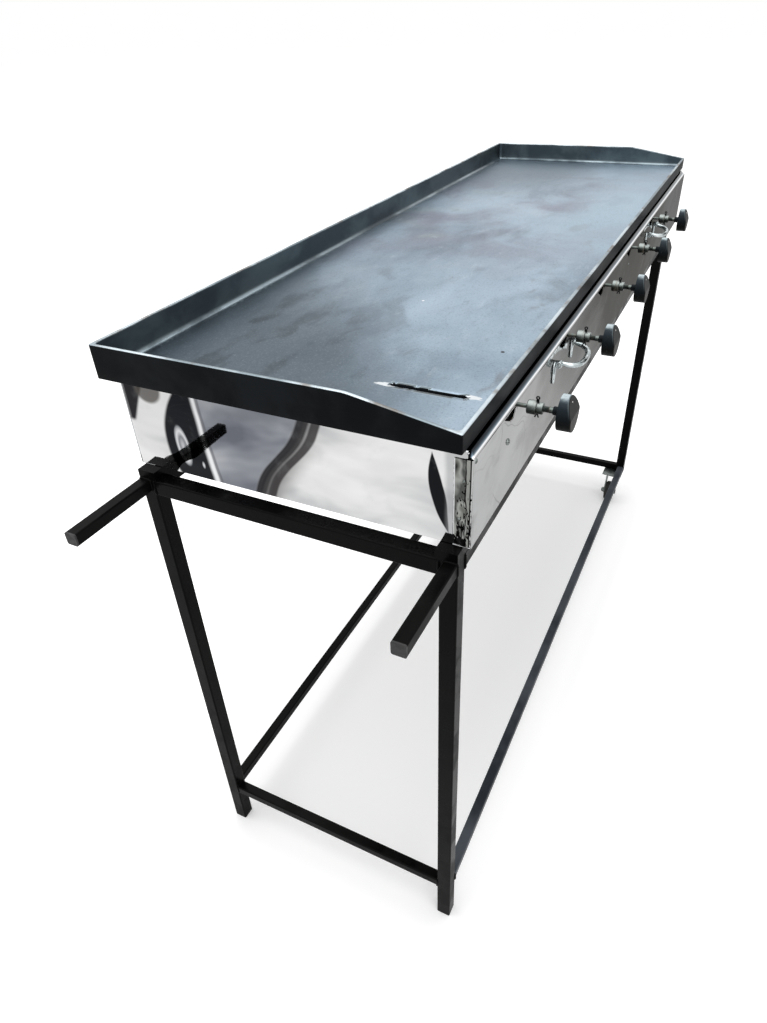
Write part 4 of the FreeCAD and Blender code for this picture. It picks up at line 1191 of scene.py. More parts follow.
@dataclass
class BurnerBoxSheets:
    """Polished sheets round the burner box, gently dented as thin sheet is."""

    sheet: float = 0.001
    bend: float = 0.002
    fold_run: float = 0.007
    fold_rise: float = 0.0045
    flange: float = 0.024
    top_flange: float = 0.014
    pattern_start: float = 0.028
    # each screw's place along X and height from the front's near lower corner, and its radius
    front_screws: tuple[Point, ...] = (
        (0.0042, 0.1205, 0.0034), (0.120, 0.083, 0.0046), (0.867, 0.0915, 0.0020), (1.194, 0.065, 0.0026),
        (1.492, 0.078, 0.0020), (1.503, 0.088, 0.0020),
    )
    # each rivet's place along Y and height from the same corner
    corner_rivets: tuple[tuple[float, float], ...] = ((0.0115, 0.094), (0.0163, 0.041))
    corner_return: float = 0.024
    window_left: float = 0.051
    window_low_left: float = 0.026
    window_low_right: float = 0.014
    window_right: float = 0.002
    window_depth: float = 0.015
    stem_hole: float = 0.004
    dent: float = 0.0006

    def __post_init__(self) -> None:
        """Read the panel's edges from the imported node."""
        self.low, self.high = node_box("front_panel")
        self.top = self.high[2] - self.fold_rise
        self.valves = [np.mean(node_box(f"knob_{k}"), axis=0) for k in range(1, ControlKnobs.count + 1)]

    def top_edge(self, x: np.ndarray) -> np.ndarray:
        """Upper edge of the front face along X: level, but lower at windows and stem holes.

        A window's edge runs down a slope, level, and up a slope; a stem hole's is a half
        circle. The lowest of all of them holds.

        Args:
            x: Places along X.

        Returns:
            Height of the edge at each.
        """
        level = self.top - self.bend
        edge = np.full_like(x, level)
        for valve in self.valves:
            sides = [-self.window_left, -self.window_low_left, -self.window_low_right, -self.window_right]
            drop = [level, self.top - self.window_depth, self.top - self.window_depth, level]
            edge = np.minimum(edge, np.interp(x - valve[0], sides, drop, left=level, right=level))
            away = np.clip(np.abs(x - valve[0]) / self.stem_hole, 0, 1)
            circle = valve[2] - self.stem_hole * np.sqrt(1 - away**2)
            edge = np.where(away < 1, np.minimum(edge, circle), edge)
        return edge

    def columns(self) -> np.ndarray:
        """Places along X: even steps, with each window's corners and hole added.

        Returns:
            The places, in order.
        """
        marks = [np.linspace(self.low[0], self.high[0], 260)]
        for valve in self.valves:
            corners = np.array(
                [self.window_left, self.window_low_left, self.window_low_right, self.window_right]
            )
            marks += [valve[0] - corners, valve[0] + np.linspace(-self.stem_hole, self.stem_hole, 13)]
        return np.unique(np.round(np.concatenate(marks), 5))

    def front(self) -> bpy.types.Object:
        """Front sheet: lower flange, bend, dented face up to the top edge, then the fold.

        Returns:
            The sheet.
        """
        x = self.columns()
        y, z = self.low[1], self.low[2]
        turn = np.linspace(0, math.pi / 2, 5)[:, None]
        flange_y = np.concatenate([[[y + self.flange], [y + self.bend]], y + self.bend * (1 - np.sin(turn))])
        flange_z = np.concatenate([[[z], [z]], z + self.bend * (1 - np.cos(turn))])
        lower = surface(x[None], flange_y, flange_z)
        rise = np.linspace(0, 1, 30)[:, None]
        face_z = z + self.bend + rise * (self.top_edge(x)[None] - z - self.bend)
        ease = fade(face_z, z, self.top, 0.02) * fade(x[None], x[0], x[-1], 0.03)
        dents = waves(x[None], face_z * 1.3, 5, 0.16) * self.dent * ease
        face = surface(x[None], y + dents, face_z)
        slope = math.atan2(self.fold_rise, self.fold_run)
        swing = np.linspace(0, math.pi / 2 - slope, 6)[:, None]
        reach = self.bend * math.tan((math.pi / 2 - slope) / 2)
        fold_y = y + self.bend * (1 - np.cos(swing))
        fold_z = self.top - reach + self.bend * np.sin(swing)
        fold_y = np.concatenate([[[y]], fold_y, [[y + self.fold_run]]])
        fold_z = np.concatenate([[[self.top - self.bend]], fold_z, [[self.top + self.fold_rise]]])
        fold = surface(x[None], fold_y, fold_z)
        behind = y + self.fold_run + np.linspace(0, self.top_flange, 4)[:, None]
        inner = x[(x > x[0] + 0.005) & (x < x[-1] - 0.005)][None]
        top_flange = surface(inner, behind, self.top + self.fold_rise)
        skin = Skin("front_sheet", Slot.SHEET, "burner_box")
        for part in (lower, face, fold, top_flange):
            skin.patch(part)
        middles = tuple(
            float(sum(box[0] for box in node_box(f"bail_handle_{number}"))) / 2 for number in (1, 2)
        )
        mirror = FrontMirror(
            "front_mirror", near=x[0], length=x[-1] - x[0], face=y, fold=self.top, fold_run=self.fold_run,
            height=self.top - z, bails=middles, pin_height=BailHandles.pivot_height(),
        )
        return skin.make(mirror.build(), "front_panel", thickness=self.sheet, merge=2e-5)

    def corner_strip(self, x: float, name: str) -> bpy.types.Object:
        """Return of the front sheet round a corner, creased like foil.

        Args:
            x: Where the end of the front sheet lies.
            name: Name of the piece.

        Returns:
            The strip.
        """
        y = np.linspace(self.low[1] + 0.0004, self.low[1] + self.corner_return, 26)[None]
        z = np.linspace(self.low[2] + self.bend, self.top - self.bend, 110)[:, None]
        creases = np.abs(waves(y * 3.0, z, 21, 0.05)) + 0.6 * np.abs(waves(y * 2.0, z, 22, 0.02))
        side = 1.0 if x > 0 else -1.0
        bulge = (0.0016 * creases - 0.0003) * fade(y, self.low[1], self.low[1] + 0.026, 0.006)
        grid = surface(x + side * bulge, y, z)
        skin = Skin(name, Slot.SHEET, "burner_box").patch(grid)
        mirror = CrumpledMirror(f"{name}_mirror", self.low[1], self.corner_return)
        return skin.make(mirror.build(), thickness=0.0005)

    def end(self, node: str, material: bpy.types.Material, inward: float) -> bpy.types.Object:
        """End sheet with its lower flange; between its edges it bulges outwards.

        Args:
            node: Node that it stands for.
            material: Its finish.
            inward: 1 where the box lies at larger X, else -1.

        Returns:
            The sheet.
        """
        low, high = node_box(node)
        x = low[0] if inward > 0 else high[0]
        y = np.linspace(low[1], high[1], 120)[None]
        z = np.linspace(low[2], high[2], 44)[:, None]
        ease = fade(y, low[1] + 0.012, high[1], 0.05) * fade(z, low[2], high[2], 0.03)
        dents = -inward * 1.6 * self.dent * (1 + waves(y, z * 1.2, 11, 0.20)) * ease
        face = surface(x + dents, y, z)
        reach = np.linspace(self.flange, 0, 3)[:, None]
        flange = surface(x + inward * reach, y, low[2])
        skin = Skin(f"{node}_sheet", Slot.SHEET, "burner_box").patch(np.concatenate([flange, face[1:]]))
        return skin.make(material, node, thickness=self.sheet, crease=60.0)

    def back(self) -> bpy.types.Object:
        """Back sheet with its lower flange.

        Returns:
            The sheet.
        """
        low, high = node_box("back_panel")
        x = np.linspace(low[0], high[0], 200)[None]
        z = np.linspace(low[2], high[2], 36)[:, None]
        ease = fade(x, low[0], high[0], 0.05) * fade(z, low[2], high[2], 0.03)
        face_y = high[1] + self.dent * (1 + waves(x, z * 1.3, 31, 0.22)) * ease
        face = surface(x, face_y, z)
        flange_y = high[1] - np.linspace(self.flange, 0, 3)[:, None]
        flange = surface(x, flange_y, low[2])
        skin = Skin("back_sheet", Slot.SHEET, "burner_box").patch(np.concatenate([flange, face[1:]]))
        return skin.make(MirrorSheet("back_mirror").build(), "back_panel", thickness=self.sheet, crease=60.0)

    def fasteners(self, material: bpy.types.Material) -> None:
        """Screws and rivets that hold the sheets to the frame inside.

        Args:
            material: Their finish.
        """
        heads = Skin("panel_screws", Slot.FITTING, "burner_box")
        for along, up, radius in self.front_screws:
            place = (self.low[0] + along, self.low[1], self.low[2] + up)
            heads.patch(slotted_head(place, (0, -1, 0), radius, radius * 0.6))
        for back, up in self.corner_rivets:
            place = (self.low[0] - 0.0004, self.low[1] + back, self.low[2] + up)
            dome = rounded([(POLE, 0.0014), (0.0015, 0.0012), (0.0021, -0.0006)], 0.0008)
            heads.patch(lathe(dome, place, (-1, 0, 0), 20))
        heads.make(material)

    def build(self, fitting: bpy.types.Material) -> None:
        """Make every sheet and its fasteners.

        Args:
            fitting: Finish of the fasteners.
        """
        self.front()
        self.corner_strip(self.low[0], "near_corner_strip")
        self.corner_strip(self.high[0], "far_corner_strip")
        self.end(
            "end_panel_near", NearEndMirror("near_end_mirror", self.low[1] + self.pattern_start).build(), 1.0
        )
        self.end("end_panel_far", MirrorSheet("far_end_mirror").build(), -1.0)
        self.back()
        self.fasteners(fitting)


@dataclass
class GriddlePan:
    """Welded pan: floor, low front lip, high back wall and end walls that slope between."""

    wall: float = 0.005
    floor: float = 0.006
    lip: float = 0.025
    slope: float = 0.142
    break_radius: float = 0.060
    fillet: float = 0.008
    outer_corner: float = 0.0025
    edge: float = 0.0012
    slot_from_near: float = 0.119
    slot_front: float = 0.041
    slot_length: float = 0.101
    slot_width: float = 0.007
    frame_x: float = 0.030
    frame_y: float = 0.022
    cells_x: tuple[int, int, int] = (10, 12, 170)
    cells_y: tuple[int, int, int] = (4, 20, 56)
    unevenness: float = 0.0004

    def __post_init__(self) -> None:
        """Read the outer box and lay out the grid lines, some of them round the slot."""
        self.low, self.high = node_box("griddle_pan")
        inset = self.wall + self.fillet
        self.inner_low, self.inner_high = self.low[:2] + inset, self.high[:2] - inset
        slot_x = self.low[0] + self.slot_from_near
        slot_y = self.low[1] + self.slot_front + self.slot_length / 2
        self.slot_middle = np.array([slot_x, slot_y])
        half = np.array([self.frame_x, self.slot_length / 2 + self.frame_y])
        self.hole_low, self.hole_high = self.slot_middle - half, self.slot_middle + half
        self.share_x = self.lines(0, self.cells_x)
        self.share_y = self.lines(1, self.cells_y)
        self.near, self.far = self.cells_x[0], sum(self.cells_x[:2])
        self.front, self.back = self.cells_y[0], sum(self.cells_y[:2])

    def lines(self, axis: int, cells: tuple[int, int, int]) -> np.ndarray:
        """Shares of the inner length at which grid lines lie: before, within and after the slot's frame.

        Args:
            axis: 0 for X, 1 for Y.
            cells: Number of cells in each of the three runs.

        Returns:
            The shares.
        """
        low, high = self.inner_low[axis], self.inner_high[axis]
        marks = [low, self.hole_low[axis], self.hole_high[axis], high]
        runs = [np.linspace(a, b, n, endpoint=False) for a, b, n in zip(marks, marks[1:], cells)]
        return (np.concatenate([*runs, [high]]) - low) / (high - low)

    def loop(self, inset: float, corner: float) -> np.ndarray:
        """Closed rounded rectangle, seen from above and turning left, n by 2.

        Args:
            inset: Distance inside the pan's outer edge.
            corner: Radius of its corners.

        Returns:
            The loop.
        """
        low, high = self.low[:2] + inset, self.high[:2] - inset
        turn = np.linspace(0, math.pi / 2, 8)[1:-1]
        marks = [(low[0], low[1], 180), (high[0], low[1], 270), (high[0], high[1], 0), (low[0], high[1], 90)]
        middle = (low + high) / 2
        parts = []
        for number, (x, y, start) in enumerate(marks):
            centre = np.array([x, y]) + np.sign(middle - (x, y)) * corner
            angle = math.radians(start) + turn
            parts.append(centre + corner * np.stack([np.cos(angle), np.sin(angle)], axis=1))
            share = (self.share_x, self.share_y, 1 - self.share_x[::-1], 1 - self.share_y[::-1])[number]
            here, after = np.array([x, y]), np.array(marks[(number + 1) % 4][:2])
            way = np.sign(after - here) * corner
            parts.append(here + way + share[:, None] * ((after - way) - (here + way)))
        return np.concatenate(parts)

    def rim_height(self, y: np.ndarray) -> np.ndarray:
        """Height of the rim over the pan's seat at a place along Y.

        A straight slope rises from the lip to the full height; an arc of the break
        radius, tangent to both, rounds its upper end.

        Args:
            y: Places along Y.

        Returns:
            The height at each.
        """
        full = self.high[2] - self.low[2]
        away = y - self.low[1]
        angle = math.atan2(full - self.lip, self.slope)
        reach = self.break_radius * math.tan(angle / 2)
        height = self.lip + np.clip(away, 0, self.slope) * math.tan(angle)
        back = np.clip(self.slope + reach - away, 0, reach * (1 + math.cos(angle)))
        arc = full - (self.break_radius - np.sqrt(self.break_radius**2 - back**2))
        return np.where(away > self.slope - reach * math.cos(angle), arc, height)

    def walls(self) -> tuple[np.ndarray, np.ndarray]:
        """The wall's section carried round the pan.

        Each row is one station of the section: an inset from the outside, a corner
        radius, and a height as a share of the local rim height plus an offset.

        Returns:
            The grid and its station values.
        """
        e, w, f = self.edge, self.wall, self.fillet
        turn = np.linspace(0, math.pi / 2, 5)
        rows = [(e * 0.5 * (1 - math.sin(a)), 0.0, e * 0.5 * (1 - math.cos(a)), 0.0) for a in turn]
        rows += [(0.0, share, 0.0, 0.3 * share) for share in (0.25, 0.5, 0.75, 0.93)]
        rows += [(e * (1 - math.cos(a)), 1.0, -e * (1 - math.sin(a)), 0.7 + 0.3 * math.sin(a)) for a in turn]
        rows += [
            (w - e * (1 - math.sin(a)), 1.0, -e * (1 - math.cos(a)), 1.0 + 0.15 * math.sin(a)) for a in turn
        ]
        rows += [(w, share, (1 - share) * (self.floor + f), 2.0 - 0.6 * share) for share in (0.9, 0.6, 0.3)]
        arc = np.linspace(0, math.pi / 2, 8)
        rows += [
            (w + f * (1 - math.cos(a)), 0.0, self.floor + f * (1 - math.sin(a)), 2.2 + 1.2 * a / arc[-1])
            for a in arc
        ]
        grid, station = [], []
        for inset, share, offset, mark in rows:
            if inset <= w:
                corner = self.outer_corner if inset < w * 0.6 else f
            else:
                corner = max(f - (inset - w), 0.0)
            loop = self.loop(inset, corner)
            uneven = waves(loop[:, 0], loop[:, 1], 41, 0.30) * self.unevenness * (share > 0.99)
            height = self.low[2] + share * self.rim_height(loop[:, 1]) + offset - np.abs(uneven)
            grid.append(np.concatenate([loop, height[:, None]], axis=1))
            station.append(np.full(len(loop), mark))
        return np.array(grid), np.array(station)

    def plate(self, inset: float, height: float, wavy: float) -> tuple[np.ndarray, np.ndarray]:
        """Level face with an open frame round the slot, and which of its cells stay.

        Args:
            inset: Distance inside the pan's outer edge.
            height: Z of the face.
            wavy: Depth of its slow dents.

        Returns:
            The grid, and True for each cell that stays.
        """
        low, high = self.low[:2] + inset, self.high[:2] - inset
        x = (low[0] + self.share_x * (high[0] - low[0]))[:, None]
        y = (low[1] + self.share_y * (high[1] - low[1]))[None]
        ease = fade(x, low[0], high[0], 0.06) * fade(y, low[1], high[1], 0.06)
        near_slot = np.maximum(np.abs(x - self.slot_middle[0]) - 0.05, np.abs(y - self.slot_middle[1]) - 0.09)
        ease = ease * np.clip(near_slot / 0.08, 0, 1)
        z = height + wavy * waves(x, y, 43, 0.55) * ease
        keep = np.ones((x.size - 1, y.size - 1), bool)
        keep[self.near : self.far, self.front : self.back] = False
        return surface(x, y, z), keep

    def slot_ring(self, plate: np.ndarray) -> np.ndarray:
        """The plate's frame points round the slot as one loop, n by 3, turning left.

        Args:
            plate: Grid of the level face.

        Returns:
            The loop.
        """
        bottom = plate[self.near : self.far, self.front]
        right = plate[self.far, self.front : self.back]
        top = plate[self.far : self.near : -1, self.back]
        left = plate[self.near, self.back : self.front : -1]
        return np.concatenate([bottom, right, top, left])

    def slot_outline(self, grow: float, height: float) -> np.ndarray:
        """The slot's edge: each point of a round-ended bar, matched to the frame's loop.

        Args:
            grow: How much larger than the slot it is, all round.
            height: Z of the loop.

        Returns:
            The loop, n by 3.
        """
        half = (self.slot_length - self.slot_width) / 2
        r = self.slot_width / 2 + grow
        front = np.linspace(-math.pi * 0.98, -math.pi * 0.02, self.cells_x[1])
        back = np.linspace(0.02 * math.pi, math.pi * 0.98, self.cells_x[1])
        side = np.linspace(-half, half, self.cells_y[1])
        parts = [
            np.stack([r * np.cos(front), -half + r * np.sin(front)], axis=1),
            np.stack([np.full(side.size, r), side], axis=1),
            np.stack([r * np.cos(back), half + r * np.sin(back)], axis=1),
            np.stack([np.full(side.size, -r), side[::-1]], axis=1),
        ]
        flat = np.concatenate(parts) + self.slot_middle
        return np.concatenate([flat, np.full((len(flat), 1), height)], axis=1)

    def build(self) -> None:
        """Join walls, floor, slot and underside into one closed skin."""
        material = GriddleSteel(tuple(self.low), (*self.slot_middle, 0.0), self.slot_length).build()
        grid, station = self.walls()
        skin = Skin("griddle_plate", Slot.GRIDDLE, "griddle")
        skin.patch(grid, loop_columns=True, station=station)
        top_z, under_z = self.low[2] + self.floor, self.low[2]
        floor, keep = self.plate(self.wall + self.fillet, top_z, self.unevenness)
        under, _ = self.plate(self.edge * 0.5, under_z, 0.0)
        skin.patch(floor, station=4.0, keep=keep)
        skin.patch(under, station=0.0, keep=keep)
        top_ring, low_ring = self.slot_ring(floor), self.slot_ring(under)
        share = np.linspace(0, 1, 5)[:, None, None]
        rim = self.slot_outline(0.0006, top_z)
        upper = top_ring[None] * (1 - share) + rim[None] * share
        cut = np.stack([self.slot_outline(0.0, top_z - 0.0006), self.slot_outline(0.0, under_z)])
        lower = self.slot_outline(0.0, under_z)[None] * (1 - share) + low_ring[None] * share
        wall = np.concatenate([upper[-1:], cut])
        skin.patch(upper, loop_columns=True, station=4.0)
        skin.patch(np.concatenate([wall, lower[1:]]), loop_columns=True, station=0.0)
        skin.make(material, "griddle_pan", merge=2e-5, crease=55.0)


@dataclass
class ControlKnobs:
    """Moulded knobs on their pinned shafts."""

    radius: float = 0.0225
    hub: float = 0.0055
    hub_length: float = 0.0035
    sleeve: float = 0.0050
    top_depth: float = 0.011
    chamfer: float = 0.0012
    stem: float = 0.00275
    coupler: float = 0.009
    coupler_standoff: float = 0.013
    coupler_length: float = 0.012
    step_down: float = 0.0015
    step_length: float = 0.008
    shaft: float = 0.004
    pitch: float = 0.001
    turns: int = 7
    thread_depth: float = 0.0004
    pin_wire: float = 0.0010
    pin_eye: float = 0.0018
    pin_knee: float = -0.0095
    pin_spread: float = 0.0022
    dot_height: float = 0.0157
    count: int = 5

    def measures(self, number: int) -> tuple[float, float, float, float, float]:
        """Where a knob sits and how deep it is, from its node.

        Args:
            number: Which knob, from 1.

        Returns:
            X and Z of its axis, Y of its back, its full depth, and its front's fall for each metre up.
        """
        low, high = node_box(f"knob_{number}")
        back = high[1] - self.hub_length
        full = back - low[1]
        fall = (full - self.top_depth) / self.radius
        return (low[0] + high[0]) / 2, (low[2] + high[2]) / 2, back, full, fall

    def knob(self, number: int, plastic: bpy.types.Material, mark: bpy.types.Material) -> None:
        """Round knob on a hub; the upper half of its front slopes back from the middle line.

        The front's depth is full below the middle and falls in a straight line to the
        top depth above it. Each ring of the grid is a radius and a share of that depth.

        Args:
            number: Which knob, from 1.
            plastic: Finish of the knob.
            mark: Finish of its dot.
        """
        x, z, back, full, fall = self.measures(number)
        turn = np.linspace(0, 2 * math.pi, 96, endpoint=False)
        r, c = self.radius, self.chamfer
        ease = np.linspace(0, math.pi / 2, 4)
        start = -self.hub_length - self.sleeve
        rings = [(0.00005, start, 0.0), (self.hub - 0.0006, start, 0.0), (self.hub, start + 0.0006, 0.0)]
        rings += [(self.hub, -0.0003, 0.0), (self.hub + 0.0004, 0.0, 0.0), (r - 0.006, 0.0, 0.0)]
        rings += [(r - 0.0054, 0.0005, 0.0), (r - 0.0024, 0.0005, 0.0)]
        rings += [(r - 0.0006 * (1 - math.sin(a)), 0.0006 * (1 - math.cos(a)), 0.0) for a in ease]
        rings += [(r, -c, share) for share in (0.3, 0.6, 0.8)]
        rings += [(r - c * (1 - math.cos(a)), -c * (1 - math.sin(a)), 1.0) for a in ease]
        rings += [(r * share, 0.0, 1.0) for share in (0.9, 0.75, 0.55, 0.35, 0.15, 0.002)]
        ring = np.array(rings)
        across, up = ring[:, :1] * np.cos(turn), ring[:, :1] * np.sin(turn)
        depth = full - fall * np.maximum(up, 0.0)
        out = ring[:, 1:2] + ring[:, 2:] * depth
        grid = np.stack([x + across, back - out, z + up], axis=-1)
        skin = Skin(f"knob_{number}_body", Slot.KNOB, f"control_knob_{number}")
        skin.solid(grid)
        skin.make(plastic, f"knob_{number}", crease=16.0)
        normal = np.array([0.0, -1.0, fall]) / math.hypot(1.0, fall)
        place = (x, back - full + fall * self.dot_height, z + self.dot_height)
        dot = Skin(f"knob_{number}_dot", Slot.KNOB, f"control_knob_{number}")
        spot = rounded([(0.0011, -0.0008), (0.0011, 0.0002), (POLE, 0.0004)], 0.0003)
        dot.solid(lathe(spot, place, tuple(normal), 20)).make(mark)

    def train(self, number: int, material: bpy.types.Material, dark: bpy.types.Material) -> None:
        """Stem, stepped coupler with its split pin, and the shaft, threaded behind the coupler.

        Args:
            number: Which knob, from 1.
            material: Finish of the turned parts.
            dark: Finish of the pin.
        """
        low, high = node_box(f"knob_shaft_{number}")
        x, z = self.measures(number)[:2]
        start = node_box("front_panel")[0][1] - self.coupler_standoff
        middle = start - self.coupler_length
        end = middle - self.step_length
        out = (0, -1, 0)
        skin = Skin(f"knob_shaft_{number}_turned", Slot.FITTING, f"control_knob_{number}")

        def turned(profile: list[tuple[float, float]], y: float, sides: int) -> None:
            """Add one turned solid on the knob's axis, from y outwards."""
            skin.solid(lathe(rounded(profile, 0.0005, 2), (x, y, z), out, sides))

        turned(cylinder(self.stem, high[1] - start), high[1], 20)
        r, length = self.coupler, self.coupler_length
        disc = [
            (POLE, 0.0), (r - 0.0006, 0.0), (r, 0.0008), (r, length - 0.0008), (r - 0.0008, length),
            (POLE, length),
        ]
        turned(disc, start, 64)
        r, length = self.coupler - self.step_down, self.step_length
        turned(
            [(POLE, 0.0), (r, 0.0), (r, length - 0.0008), (r - 0.0009, length), (POLE, length)], middle, 48
        )
        crest = [
            (self.shaft - self.thread_depth * (k % 2), k * self.pitch / 2) for k in range(2 * self.turns + 1)
        ]
        thread = self.turns * self.pitch
        skin.solid(lathe([(POLE, 0.0), *crest, (POLE, thread)], (x, end, z), out, 24))
        turned(cylinder(self.shaft, end - thread - low[1]), end - thread, 24)
        skin.make(material, f"knob_shaft_{number}", crease=45.0)
        pin = Skin(f"knob_pin_{number}", Slot.FITTING, f"control_knob_{number}")
        self.split_pin(pin, np.array([x, middle, z]), low[2], high[2])
        pin.make(dark, crease=60.0)

    def split_pin(self, skin: Skin, centre: np.ndarray, bottom: float, top: float) -> None:
        """Split pin through the coupler: a round eye above, two parted legs below.

        The eye is most of a circle; each leg leaves it straight down and bends away
        from the other near its tip.

        Args:
            skin: Piece that takes the pin.
            centre: Middle of the coupler's step.
            bottom: Lowest Z of the pin.
            top: Highest Z of the pin.
        """
        wire, eye = self.pin_wire, self.pin_eye
        turn = np.linspace(-0.36 * math.pi, 1.36 * math.pi, 26)
        middle = top - centre[2] - eye - wire
        ring = np.stack([np.zeros_like(turn), eye * np.cos(turn), middle + eye * np.sin(turn)], axis=1)
        for side in (-1.0, 1.0):
            root = ring[0] if side > 0 else ring[-1]
            waist = np.array([0.0, side * wire, ring[0, 2] - 0.0015])
            knee = np.array([0.0, side * wire, self.pin_knee])
            tip = np.array([0.0, side * self.pin_spread, bottom - centre[2] + 0.0012])
            leg = np.array([root, waist, knee, tip])
            share = np.linspace(0, 3, 19)
            path = np.stack([np.interp(share, range(4), leg[:, axis]) for axis in range(3)], axis=1)
            skin.solid(tube(centre + path, wire, (1, 0, 0), 10))
        skin.solid(tube(centre + ring, wire, (1, 0, 0), 10))

    def build(self) -> None:
        """Make all knobs and shafts."""
        _, axis_height, back, full, fall = self.measures(1)
        fitting = ShaftZinc("shaft_zinc", axis_height, self.coupler).build()
        plastic = KnobPlastic("knob_moulding", axis_height, self.radius, back, full, fall).build()
        mark = PatchyFinish(
            "knob_dot_white", dark=(0.72, 0.72, 0.70), light=(0.86, 0.86, 0.84), metallic=0.0, smooth=0.4,
            rough=0.6, patch_scale=300.0,
        ).build()
        dark = PatchyFinish(
            "blackened_pin", dark=(0.006, 0.006, 0.006), light=(0.05, 0.055, 0.055), metallic=1.0,
            smooth=0.35, rough=0.55, patch_scale=120.0, grain_scale=1500.0, grain_depth=0.00001,
        ).build()
        for number in range(1, self.count + 1):
            self.knob(number, plastic, mark)
            self.train(number, fitting, dark)


@dataclass
class BailHandles:
    """Cast bails on plates with knuckles, each plate held by one slotted screw."""

    span: float = 0.086
    end_radius: float = 0.0027
    eye_radius: float = 0.0036
    middle_radius: float = 0.0041
    tilt: float = math.radians(10)
    fullness: float = 2.6
    pin_radius: float = 0.0025
    knuckle_radius: float = 0.005
    knuckle_bore: float = 0.00256
    knuckle_length: float = 0.007
    plate_width: float = 0.014
    plate_height: float = 0.034
    plate_sheet: float = 0.0015
    taper: float = 0.55
    rim_radius: float = 0.0013
    screw_drop: float = 0.016
    screw_radius: float = 0.0036
    standoff: float = 0.007
    clearance: float = 0.0003

    def bow(self, number: int, material: bpy.types.Material) -> None:
        """The bail: a tube on a flattened half loop, thickest in its middle.

        The loop is a superellipse of power 2.6, so its shoulders are fuller than an
        ellipse's; the radius swells with a power of the sine along it.

        Args:
            number: Which bail, from 1.
            material: Its finish.
        """
        pivot = self.pivot(number)
        half = self.span / 2 - self.end_radius
        front = node_box(f"bail_handle_{number}")[0][1]
        reach = float(pivot[1] - front - self.middle_radius) / math.cos(self.tilt)
        turn = np.linspace(0, math.pi, 61)
        across = -np.sign(np.cos(turn)) * np.abs(np.cos(turn)) ** (2 / self.fullness) * half
        out = np.sin(turn) ** (2 / self.fullness) * reach
        path = np.stack([across, -out * math.cos(self.tilt), -out * math.sin(self.tilt)], axis=1)
        swell = np.sin(turn) ** 0.5
        radius = self.end_radius + (self.middle_radius - self.end_radius) * swell
        normal = (0, -math.sin(self.tilt), math.cos(self.tilt))
        skin = Skin(f"bail_{number}_bow", Slot.FITTING, f"front_bail_{number}")
        skin.solid(tube(pivot + path, radius, normal, 28))
        e, thick = self.eye_radius, self.end_radius
        barrel = [(POLE, -thick), (e - 0.0006, -thick), (e, 0.0006 - thick), (e, thick - 0.0006)]
        barrel = rounded([*barrel, (e - 0.0006, thick), (POLE, thick)], 0.0003)
        pin = rounded(cylinder(self.pin_radius, self.end_radius + self.knuckle_length), 0.0004)
        for side in (-1, 1):
            place = pivot + (side * half, 0, 0)
            skin.solid(lathe(barrel, place, (1, 0, 0), 32))
            skin.solid(lathe(pin, place, (side, 0, 0), 24))
        skin.make(material, f"bail_handle_{number}", crease=50.0)

    @staticmethod
    def pivot_height() -> float:
        """Height of the bails' pins: the knuckle's radius under the plates' tops."""
        return float(node_box("bail_brackets")[1][2]) - BailHandles.knuckle_radius

    def pivot(self, number: int) -> np.ndarray:
        """Middle of a bail's swing line, in front of the panel.

        Args:
            number: Which bail, from 1.

        Returns:
            The point.
        """
        low, high = node_box(f"bail_handle_{number}")
        panel = node_box("front_panel")[0][1]
        return np.array([(low[0] + high[0]) / 2, panel - self.standoff, self.pivot_height()])

    def outline(self, less: float = 0.0) -> np.ndarray:
        """Outline of a plate: a round-ended bar, narrowed in a straight line towards its foot.

        Args:
            less: How much smaller it is than the plate, from side to side.

        Returns:
            Closed outline, n by 2.
        """
        shape = capsule(self.plate_height - less, self.plate_width - less)
        marks = (-self.plate_height / 2, self.plate_height / 4)
        shape[:, 0] *= np.interp(shape[:, 1], marks, (self.taper, 1.0))
        return shape

    def bracket(self, skin: Skin, edge: Skin, middle: np.ndarray, side: float) -> None:
        """One plate with its knuckle, a rolled strip from plate to knuckle, and its screw.

        Args:
            skin: Piece that takes the plate.
            edge: Piece that takes knuckle, rim and screw.
            middle: Middle of the bail's swing line.
            side: -1 for the near bracket, 1 for the far one.
        """
        panel = middle[1] + self.standoff
        inner = middle[0] + side * (self.span / 2 + self.clearance)
        centre_x = inner + side * self.plate_width / 2
        k, length = self.knuckle_radius, self.knuckle_length
        low_z = middle[2] + k - self.plate_height / 2
        corner = (centre_x, panel, low_z)
        skin.solid(slab(self.outline(), corner, (1, 0, 0), (0, 0, 1), self.plate_sheet, 0.0005))
        bore, lead = self.knuckle_bore, k - 0.0004
        barrel = [(bore, 0.0), (lead, 0.0), (k, 0.0005), (k, length - 0.0005), (lead, length), (bore, length)]
        edge.hoop(lathe(rounded(barrel, 0.0003), (inner, middle[1], middle[2]), (side, 0, 0), 36))
        ends = (inner + side * 0.0004, inner + side * (length - 0.0004))
        strap_y = np.array([panel - 0.0006, middle[1], middle[1], panel - 0.0006])
        strap_z = middle[2] + np.array([k, k, k - 0.0015, k - 0.0028])
        strap = np.stack([np.stack([np.full(4, x), strap_y, strap_z], axis=1) for x in ends])
        skin.solid(strap)
        rim = self.outline(2 * self.rim_radius)
        rim = np.stack([centre_x + rim[:, 0], np.full(len(rim), panel - 0.0016), low_z + rim[:, 1]], axis=1)
        edge.hoop(tube(rim, self.rim_radius, (0, 1, 0), 12, True))
        screw = (centre_x, panel - self.plate_sheet, middle[2] - self.screw_drop)
        edge.patch(slotted_head(screw, (0, -1, 0), self.screw_radius, 0.0022))

